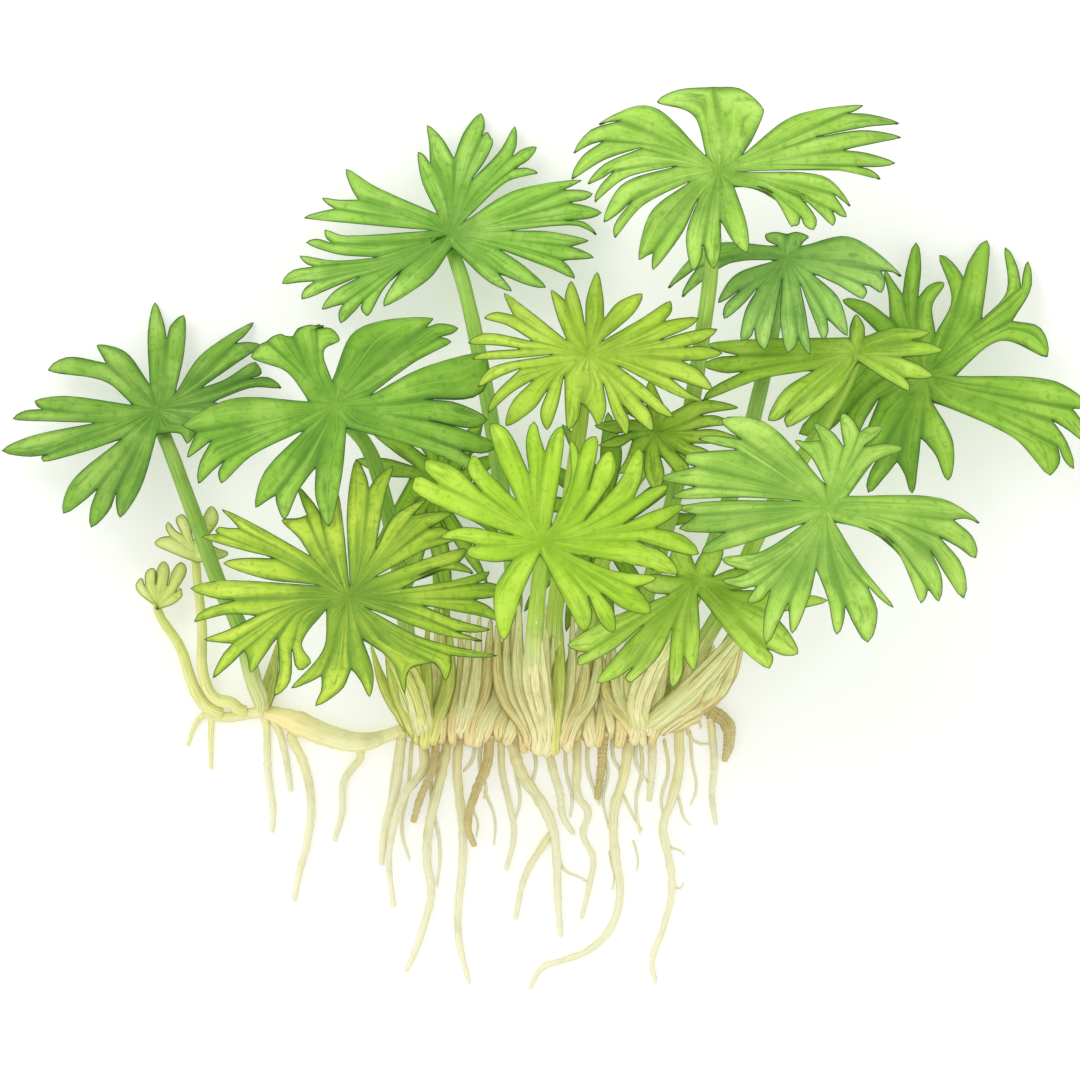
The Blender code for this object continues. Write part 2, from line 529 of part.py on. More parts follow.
TUBES = {
    "runner": Tube(
        ((270, 713, 0.75), (298, 723, 1.2), (329, 736, 1.15), (361, 742, 1.05), (386, 736, 0.75)),
        (0.7, 1.2, 1.1, 0.95, 0.65), YELLOW),
    "root_runner_long": Tube(
        ((293, 741, 0.4), (303, 762, 0.4), (311, 802, 0.4), (307, 843, 0.4), (299, 874, 0.3), (294, 902, 0.25)),
        (0.4, 0.4, 0.36, 0.34, 0.28, 0.2), CREAM),
    "root_runner_mid": Tube(
        ((278, 729, 0.32), (284, 749, 0.32), (291, 792, 0.25)),
        (0.32, 0.3, 0.22), CREAM),
    "root_runner_first": Tube(
        ((266, 724, 0.35), (268, 772, 0.35), (273, 811, 0.3), (272, 833, 0.25)),
        (0.35, 0.33, 0.28, 0.2), CREAM),
    "root_runner_last": Tube(
        ((360, 759, 0.35), (354, 766, 0.35), (344, 782, 0.35), (342, 813, 0.3), (334, 842, 0.25)),
        (0.34, 0.34, 0.32, 0.28, 0.2), CREAM),
    "root_left_outer": Tube(
        ((402, 738, 0.42), (396, 788, 0.42), (385, 829, 0.38), (381, 866, 0.25)),
        (0.42, 0.4, 0.34, 0.22), CREAM),
    "root_left_crossing": Tube(
        ((423, 742, 0.45), (424, 767, 0.5), (405, 794, 1.2), (393, 829, 1.5), (389, 861, 1.3), (394, 908, 0.3)),
        (0.42, 0.42, 0.36, 0.32, 0.28, 0.22), CREAM),
    "root_dark": Tube(
        ((436, 743, 1.5), (434, 764, 1.5), (420, 799, 0.8), (413, 823, 0.35)),
        (0.36, 0.36, 0.32, 0.24), BROWN),
    "root_left_long": Tube(
        ((447, 741, 0.45), (441, 775, 0.45), (432, 812, 0.45), (428, 834, 0.42), (427, 861, 0.4), (431, 893, 0.38),
         (424, 925, 0.35), (414, 954, 0.3), (405, 973, 0.25)),
        (0.45, 0.45, 0.42, 0.4, 0.38, 0.35, 0.32, 0.27, 0.2), CREAM),
    "root_long_wavy": Tube(
        ((459, 740, 0.45), (457, 767, 0.45), (460, 802, 0.42), (463, 839, 0.4), (462, 871, 0.38), (458, 909, 0.35),
         (459, 941, 0.3), (464, 963, 0.25), (470, 985, 0.22)),
        (0.42, 0.42, 0.4, 0.38, 0.36, 0.32, 0.28, 0.24, 0.18), CREAM),
    "root_tan": Tube(
        ((489, 744, 0.5), (487, 764, 0.8), (476, 791, 1.5), (468, 826, 1.6), (475, 847, 1.2)),
        (0.45, 0.45, 0.4, 0.34, 0.26), TAN),
    "root_thin": Tube(
        ((501, 744, 0.32), (502, 770, 0.32), (510, 807, 0.3), (514, 834, 0.27), (506, 871, 0.22)),
        (0.32, 0.3, 0.28, 0.25, 0.18), CREAM),
    "root_main": Tube(
        ((513, 746, 0.5), (521, 772, 0.5), (542, 804, 0.48), (553, 829, 0.45), (556, 850, 0.42), (558, 901, 0.35),
         (561, 938, 0.25)),
        (0.5, 0.5, 0.47, 0.42, 0.38, 0.32, 0.2), CREAM),
    "root_main_fork": Tube(
        ((545, 842, 0.35), (526, 874, 0.32), (515, 920, 0.25)),
        (0.32, 0.3, 0.2), CREAM),
    "root_centre": Tube(
        ((549, 752, 0.4), (553, 770, 0.4), (560, 794, 0.38), (563, 816, 0.35), (574, 835, 0.25)),
        (0.4, 0.38, 0.34, 0.3, 0.2), CREAM),
    "root_centre_right": Tube(
        ((577, 746, 0.4), (577, 764, 0.4), (578, 796, 0.38), (588, 812, 0.35), (583, 834, 0.32), (593, 858, 0.3),
         (590, 882, 0.28), (581, 920, 0.22)),
        (0.38, 0.38, 0.35, 0.32, 0.28, 0.26, 0.24, 0.18), CREAM),
    "root_tan_right": Tube(
        ((603, 743, 0.45), (601, 770, 0.42), (597, 800, 0.3)),
        (0.42, 0.38, 0.25), TAN),
    "root_right_long": Tube(
        ((628, 743, 0.45), (624, 775, 0.45), (614, 812, 0.42), (616, 861, 0.4), (620, 887, 0.38), (612, 925, 0.35),
         (590, 949, 0.32), (564, 960, 0.3), (542, 968, 0.28), (529, 990, 0.22)),
        (0.44, 0.44, 0.42, 0.38, 0.36, 0.34, 0.3, 0.27, 0.24, 0.18), CREAM),
    "root_right_short": Tube(
        ((652, 741, 0.42), (652, 767, 0.4), (649, 802, 0.28)),
        (0.4, 0.36, 0.22), CREAM),
    "root_far_long": Tube(
        ((679, 738, 0.45), (679, 767, 0.45), (671, 802, 0.42), (663, 826, 0.4), (668, 855, 0.38), (672, 887, 0.36),
         (663, 928, 0.33), (652, 962, 0.28), (656, 984, 0.22)),
        (0.44, 0.42, 0.4, 0.38, 0.36, 0.32, 0.28, 0.24, 0.18), CREAM),
    "root_brown": Tube(
        ((712, 712, 0.75), (727, 724, 0.7), (729, 742, 0.6), (724, 762, 0.35)),
        (0.62, 0.6, 0.5, 0.25), BROWN),
    "root_right_end": Tube(
        ((712, 734, 0.35), (714, 770, 0.33), (712, 796, 0.3), (716, 826, 0.22)),
        (0.34, 0.32, 0.28, 0.18), CREAM),
}

# Pieces that grew as one: the first tube of each is the stem and the others stand on it
RUNNER_TIP = (
    Tube(((204, 711, 0.65), (222, 717, 0.6), (253, 713, 0.65)), (0.55, 0.5, 0.55), PALE_YELLOW),
    Tube(((207, 713, 0.5), (199, 719, 0.4), (187, 746, 0.25)), (0.35, 0.3, 0.18), PALE_YELLOW),
    Tube(((212, 714, 0.5), (211, 730, 0.4), (211, 770, 0.25)), (0.35, 0.3, 0.18), PALE_YELLOW),
)
BUD_SHEATH = (
    Tube(((262, 706, 1.0), (256, 690, 1.0), (244, 658, 1.0)), (0.5, 0.5, 0.3), OLIVE),
    Tube(((262, 706, 1.0), (268, 690, 1.0), (281, 638, 1.0)), (0.5, 0.55, 0.3), OLIVE),
    Tube(((262, 709, 0.9), (261, 701, 2.2), (257, 690, 3.3)), (0.75, 0.85, 0.9), OLIVE),
)
ROOTSTOCK = Tube(
    ((398, 727, 0.85), (425, 728, 1.2), (462, 726, 1.1), (500, 729, 1.2), (545, 733, 1.5), (592, 728, 1.1),
     (645, 725, 1.3), (685, 720, 0.9), (702, 713, 0.6)),
    (0.85, 1.2, 1.1, 1.2, 1.5, 1.1, 1.3, 0.9, 0.6), CROWN)
SHEATH_RADII = (1.2, 1.15, 1.0)
OLD_LEAF_BASES = (
    Tube(((410, 728, 2.0), (390, 696, 3.0), (371, 648, 3.2)), (0.9, 0.8, 0.25), CROWN),
    Tube(((456, 727, 2.4), (463, 690, 3.8), (468, 618, 4.4)), (0.9, 0.85, 0.3), CROWN),
    Tube(((470, 727, 2.4), (484, 690, 3.8), (491, 618, 4.4)), (0.9, 0.85, 0.3), CROWN),
    Tube(((538, 733, 2.6), (508, 700, 4.4), (496, 654, 5.4)), (0.9, 0.8, 0.3), CROWN),
    Tube(((557, 733, 2.2), (590, 694, 3.7), (606, 618, 4.4)), (0.9, 0.8, 0.3), CROWN),
    Tube(((634, 726, 2.4), (610, 700, 3.6), (603, 664, 4.0)), (0.9, 0.8, 0.3), CROWN),
    Tube(((662, 724, 1.8), (712, 697, 2.6), (742, 648, 2.8)), (0.9, 0.8, 0.3), CROWN),
)


def place(x, y, height):
    """The world point of a plan point (plan units) at a height (mm)."""
    return Vector(((x - SHEET_CENTRE[0]) * UNIT, (SHEET_CENTRE[1] - y) * UNIT, height * MM))


def blade_height(leaf, point):
    """Height in mm of the blade's upper face over a plan point."""
    reach = max(math.dist(leaf.hub, tip) for _, _, tip, _ in leaf.teeth)
    part = math.dist(leaf.hub, point) / reach
    south = (point[1] - leaf.hub[1]) * UNIT / MM
    east = (point[0] - leaf.hub[0]) * UNIT / MM
    arch = leaf.lift * 4 * part * (1 - part) - leaf.droop * part ** 2
    return leaf.height + leaf.lean * south + leaf.roll * east + arch


def midpoint(first, second):
    return ((first[0] + second[0]) / 2, (first[1] + second[1]) / 2)


def necks(leaf):
    """For each notch, the point its rail bends towards: the throat of its lobe, or halfway to a deep notch."""
    reach = sum(math.dist(leaf.hub, tip) for _, _, tip, _ in leaf.teeth) / len(leaf.teeth)
    notches = [tooth[0] for tooth in leaf.teeth]
    deep = [math.dist(leaf.hub, notch) < DEEP_NOTCH * reach for notch in notches]
    points = []
    for index, notch in enumerate(notches):
        bend = midpoint(leaf.hub, notch)
        if not deep[index] and sum(deep) > 1:
            before = next(notches[index - k] for k in range(len(notches)) if deep[index - k])
            after = next(notches[(index + k) % len(notches)] for k in range(len(notches))
                         if deep[(index + k) % len(notches)])
            throat = midpoint(before, after)
            bend = midpoint(bend, throat)
        points.append(leaf.bends.get(index, bend))
    return points


def tooth_edge(hub, bend, notch, shoulder, tip):
    """Five plan points from the hub to a tooth's tip along one side. Without a bend, the side has a point more."""
    if bend is None:
        return hub, notch, shoulder, midpoint(shoulder, tip), tip
    return hub, bend, notch, shoulder, tip


def new_material(name, colour, roughness=0.6):
    material = bpy.data.materials.new(name)
    material.use_nodes = True
    shader = material.node_tree.nodes["Principled BSDF"]
    shader.inputs["Base Color"].default_value = (*colour, 1.0)
    shader.inputs["Roughness"].default_value = roughness
    shader.inputs["Metallic"].default_value = 0.0
    return material


def new_object(name, data, colour, collection):
    made = bpy.data.objects.new(name, data)
    made.data.materials.append(new_material(name, colour))
    collection.objects.link(made)
    return made


def add_tooth(mesh, leaf, left, right):
    """One tooth as a strip between its left and right rails, which both run from the hub to the tip."""
    made = bmesh.ops.create_grid(mesh, x_segments=1, y_segments=BLADE_ROWS, size=1.0)
    for vert in made["verts"]:
        rail = left if vert.co.x < 0 else right
        point = rail[round((vert.co.y + 1) / 2 * BLADE_ROWS)]
        vert.co = place(*point, blade_height(leaf, point))


def build_blade(name, leaf, collection):
    """The blade: a fan of teeth round the hub, given its thickness downwards. Returns how far it was lowered, in mm."""
    mesh = bmesh.new()
    bends = necks(leaf)
    for index, (notch, left, tip, right) in enumerate(leaf.teeth):
        following = (index + 1) % len(leaf.teeth)
        next_notch = leaf.teeth[following][0]
        add_tooth(
            mesh,
            leaf,
            tooth_edge(leaf.hub, bends[index], notch, left, tip),
            tooth_edge(leaf.hub, bends[following], next_notch, right, tip),
        )
    bmesh.ops.remove_doubles(mesh, verts=mesh.verts, dist=MERGE)
    drop = 0.0
    if name in RESTING_LEAVES:
        drop = min(vert.co.z for vert in mesh.verts) / MM - BLADE_THICKNESS
        bmesh.ops.translate(mesh, verts=mesh.verts, vec=(0, 0, -drop * MM))
    data = bpy.data.meshes.new(name + "_blade")
    mesh.to_mesh(data)
    mesh.free()
    blade = new_object(name + "_blade", data, leaf.colour, collection)
    thicken = blade.modifiers.new("thickness", "SOLIDIFY")
    thicken.thickness = BLADE_THICKNESS * MM
    thicken.offset = -1
    thicken.use_even_offset = False
    return drop


def build_tube(name, tube, collection, steps=TUBE_STEPS):
    """A round tapered stem through the route, as a bevelled curve with closed ends."""
    curve = bpy.data.curves.new(name, "CURVE")
    curve.dimensions = "3D"
    curve.resolution_u = steps if len(tube.route) < LONG_ROUTE else 1
    curve.bevel_resolution = TUBE_SIDES_SETTING
    curve.bevel_depth = MM
    curve.use_fill_caps = True
    spline = curve.splines.new("BEZIER")
    spline.bezier_points.add(len(tube.route) - 1)
    for bezier, point, radius in zip(spline.bezier_points, tube.route, tube.radii):
        bezier.co = place(*point)
        bezier.radius = radius
        bezier.handle_left_type = "AUTO"
        bezier.handle_right_type = "AUTO"
    return new_object(name, curve, tube.colour, collection)


def as_mesh(made, name, collection, depth=1.0):
    """The tube as a closed mesh, stretched in height by depth, with its curve object removed."""
    graph = bpy.context.evaluated_depsgraph_get()
    data = bpy.data.meshes.new_from_object(made.evaluated_get(graph))
    mesh = bmesh.new()
    mesh.from_mesh(data)
    bmesh.ops.remove_doubles(mesh, verts=mesh.verts, dist=MERGE / 10)
    bmesh.ops.scale(mesh, verts=mesh.verts, vec=(1, 1, depth))
    mesh.to_mesh(data)
    mesh.free()
    bpy.data.objects.remove(made)
    data.name = name
    solid = bpy.data.objects.new(name, data)
    collection.objects.link(solid)
    return solid


def build_grown(name, solids, collection):
    """One closed node from solids that overlap, the first of which gives the material."""
    body, *others = solids
    for other in others:
        joined = body.modifiers.new("grown_on", "BOOLEAN")
        joined.operation = "UNION"
        joined.solver = "EXACT"
        joined.object = other
    bpy.context.view_layer.update()
    graph = bpy.context.evaluated_depsgraph_get()
    data = bpy.data.meshes.new_from_object(body.evaluated_get(graph))
    colour_from = body.data.materials[0]
    for solid in solids:
        bpy.data.objects.remove(solid)
    data.name = name
    data.materials.clear()
    data.materials.append(colour_from)
    grown = bpy.data.objects.new(name, data)
    collection.objects.link(grown)
    return grown


def stalk_radii(count, radii):
    """Radii along a stalk: base, middle and neck values spread over the points of its route."""
    base, middle, neck = radii
    values = []
    for index in range(count):
        along = index / (count - 1)
        low, high, part = (base, middle, along * 2) if along < 0.5 else (middle, neck, along * 2 - 1)
        values.append(low + (high - low) * part)
    return tuple(values)


def build_stalk(name, leaf, drop, collection):
    """The stalk, which ends just under the blade near its hub. drop is how far a resting blade was lowered."""
    radii = stalk_radii(len(leaf.stalk) + 1, YOUNG_STALK_RADII if name in YOUNG_LEAVES else STALK_RADII)
    end = (leaf.hub[0], leaf.hub[1] + HUB_SETBACK)
    height = blade_height(leaf, end) - drop - BLADE_THICKNESS - NECK - radii[-1]
    tube = Tube((*leaf.stalk, (*end, height)), radii, leaf.colour)
    return build_tube(name + "_stalk", tube, collection)


def build_leaves(collection):
    for name, leaf in LEAVES.items():
        drop = build_blade(name, leaf, collection)
        build_stalk(name, leaf, drop, collection)


def build_stems(collection):
    for name, tube in TUBES.items():
        full = ROOT_FULLNESS if name.startswith("root_") else 1.0
        route = tuple((x, y, height * full) for x, y, height in tube.route)
        radii = tuple(radius * full for radius in tube.radii)
        build_tube(name, Tube(route, radii, tube.colour), collection)
    for name, tubes in (("runner_tip", RUNNER_TIP), ("bud_sheath", BUD_SHEATH)):
        solids = [as_mesh(build_tube(name, tube, collection, 1), name, collection) for tube in tubes]
        build_grown(name, solids, collection)


def build_rootstock(collection):
    """The creeping rootstock with the sheaths of its leaves and the old leaf bases, which grew as one."""
    stock = as_mesh(build_tube("rootstock", ROOTSTOCK, collection), "rootstock", collection, ROOTSTOCK_DEPTH)
    sheaths = [Tube(leaf.sheath, SHEATH_RADII, CROWN) for leaf in LEAVES.values() if leaf.sheath]
    grown = [
        as_mesh(build_tube("leaf_base", tube, collection, 1), "leaf_base", collection)
        for tube in (*sheaths, *OLD_LEAF_BASES)
    ]
    build_grown("rootstock", [stock, *grown], collection)


def main():
    for leftover in list(bpy.data.objects):
        bpy.data.objects.remove(leftover)
    collection = bpy.data.collections.new("river_buttercup")
    bpy.context.scene.collection.children.link(collection)
    build_leaves(collection)
    build_stems(collection)
    build_rootstock(collection)


main()
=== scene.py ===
"""Looks of an uprooted river buttercup that lies on a pale floor and is seen from straight above.

The CAD solids are the frame. Every blade, stalk, root, runner and crown is built again here in its own detail,
at the place of its solid. Plan points are in plan units of 0.1 mm, x to the right and y down the sheet, and
heights are millimetres over the floor, as in the part's source.
"""

from __future__ import annotations

import logging
import math
from dataclasses import dataclass, field
from enum import Enum

import bpy
import numpy as np
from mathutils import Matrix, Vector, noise

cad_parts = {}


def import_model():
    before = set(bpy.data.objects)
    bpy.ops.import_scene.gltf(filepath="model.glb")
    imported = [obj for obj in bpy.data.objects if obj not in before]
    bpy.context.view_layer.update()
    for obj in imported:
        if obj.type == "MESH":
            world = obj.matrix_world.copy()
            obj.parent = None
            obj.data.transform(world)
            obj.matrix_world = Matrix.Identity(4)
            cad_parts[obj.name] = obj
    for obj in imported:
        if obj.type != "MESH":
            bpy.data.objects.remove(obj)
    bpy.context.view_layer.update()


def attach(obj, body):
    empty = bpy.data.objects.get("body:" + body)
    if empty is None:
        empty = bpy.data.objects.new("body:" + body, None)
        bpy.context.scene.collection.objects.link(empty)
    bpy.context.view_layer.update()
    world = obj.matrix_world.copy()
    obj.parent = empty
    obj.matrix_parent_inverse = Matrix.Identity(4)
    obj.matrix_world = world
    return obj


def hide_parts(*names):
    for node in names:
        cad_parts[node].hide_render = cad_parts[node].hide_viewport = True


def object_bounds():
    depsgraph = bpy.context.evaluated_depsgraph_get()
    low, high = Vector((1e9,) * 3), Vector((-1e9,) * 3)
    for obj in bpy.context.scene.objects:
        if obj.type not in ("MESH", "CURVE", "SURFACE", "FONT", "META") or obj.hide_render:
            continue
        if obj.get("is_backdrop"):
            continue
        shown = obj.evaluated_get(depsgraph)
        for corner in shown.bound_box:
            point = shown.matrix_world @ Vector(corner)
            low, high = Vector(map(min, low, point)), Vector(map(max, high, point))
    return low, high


LOG = logging.getLogger("river_buttercup")

# Driving sizes, as in the part's source
UNIT = 0.0001
MM = 0.001
SHEET_CENTRE = np.array((541.5, 540.0))
BLADE_THICKNESS = 0.45
DEEP_NOTCH = 0.5
NECK = 0.35
HUB_SETBACK = 4
STALK_RADII = (0.85, 0.8, 0.7)
YOUNG_STALK_RADII = (0.62, 0.55, 0.42)
SHEATH_RADII = (1.2, 1.15)
YOUNG_SHEATH_RADII = (0.6, 0.62)
RUNNER_SHEATH_RADII = (0.75, 0.82)
GREENING = (668.0, 600.0)

Point = tuple[float, float]
Route = tuple[tuple[float, float, float], ...]
Tooth = tuple[Point, Point, Point, Point]


class Palette(Enum):
    """The painted colours of a leaf as (shadow, body, light), each in sRGB from 0 to 255."""

    LEFT = ((76, 124, 45), (126, 176, 58), (168, 206, 96))
    UPPER_LEFT = ((76, 124, 38), (128, 182, 54), (170, 212, 90))
    TOP = ((85, 139, 43), (152, 206, 76), (194, 232, 120))
    MIDDLE = ((108, 144, 38), (170, 208, 58), (204, 232, 92))
    LOWER_LEFT = ((83, 130, 40), (172, 206, 60), (208, 230, 84))
    CENTRE = ((112, 155, 32), (164, 210, 48), (194, 230, 80))
    TOP_RIGHT = ((90, 139, 43), (158, 206, 76), (194, 234, 114))
    DROOPING = ((86, 135, 65), (150, 200, 88), (182, 224, 114))
    HIDDEN_MIDDLE = ((101, 142, 41), (176, 216, 66), (206, 236, 98))
    SMALL_RIGHT = ((103, 146, 40), (170, 212, 66), (200, 234, 102))
    FAR_RIGHT = ((81, 131, 38), (142, 192, 60), (178, 218, 88))
    LOWER_RIGHT = ((97, 146, 52), (162, 208, 80), (196, 232, 112))
    LOW_SMALL = ((124, 167, 45), (194, 234, 86), (220, 247, 122))
    HIDDEN_LEFT = ((94, 135, 41), (160, 204, 62), (190, 226, 92))
    HIDDEN_CENTRE = ((90, 130, 40), (154, 196, 60), (184, 220, 88))
    YOUNG = ((176, 190, 78), (224, 234, 136), (240, 245, 172))


@dataclass(frozen=True)
class LeafPlan:
    """One leaf as the part's source has it.

    Args:
        hub: Plan point where the stalk meets the blade.
        height: Height of the hub in mm.
        lean: Rise of the blade towards the roots, as a slope.
        roll: Rise of the blade towards +X, as a slope.
        lift: How far the blade arches up halfway out, in mm.
        droop: How far the tips hang, in mm.
        sheath: Route of the sheath, from the crown to where the stalk's own solid starts.
        stalk: Route of the stalk from there.
        palette: Painted colours.
        teeth: (notch before it, left shoulder, tip, right shoulder) for each tooth, clockwise from above.
        bends: By number of the notch, the point that its rail passes in an arched lobe.
    """

    hub: Point
    height: float
    lean: float
    roll: float
    lift: float
    droop: float
    sheath: Route
    stalk: Route
    palette: Palette
    teeth: tuple[Tooth, ...]
    bends: dict[int, Point] = field(default_factory=dict)


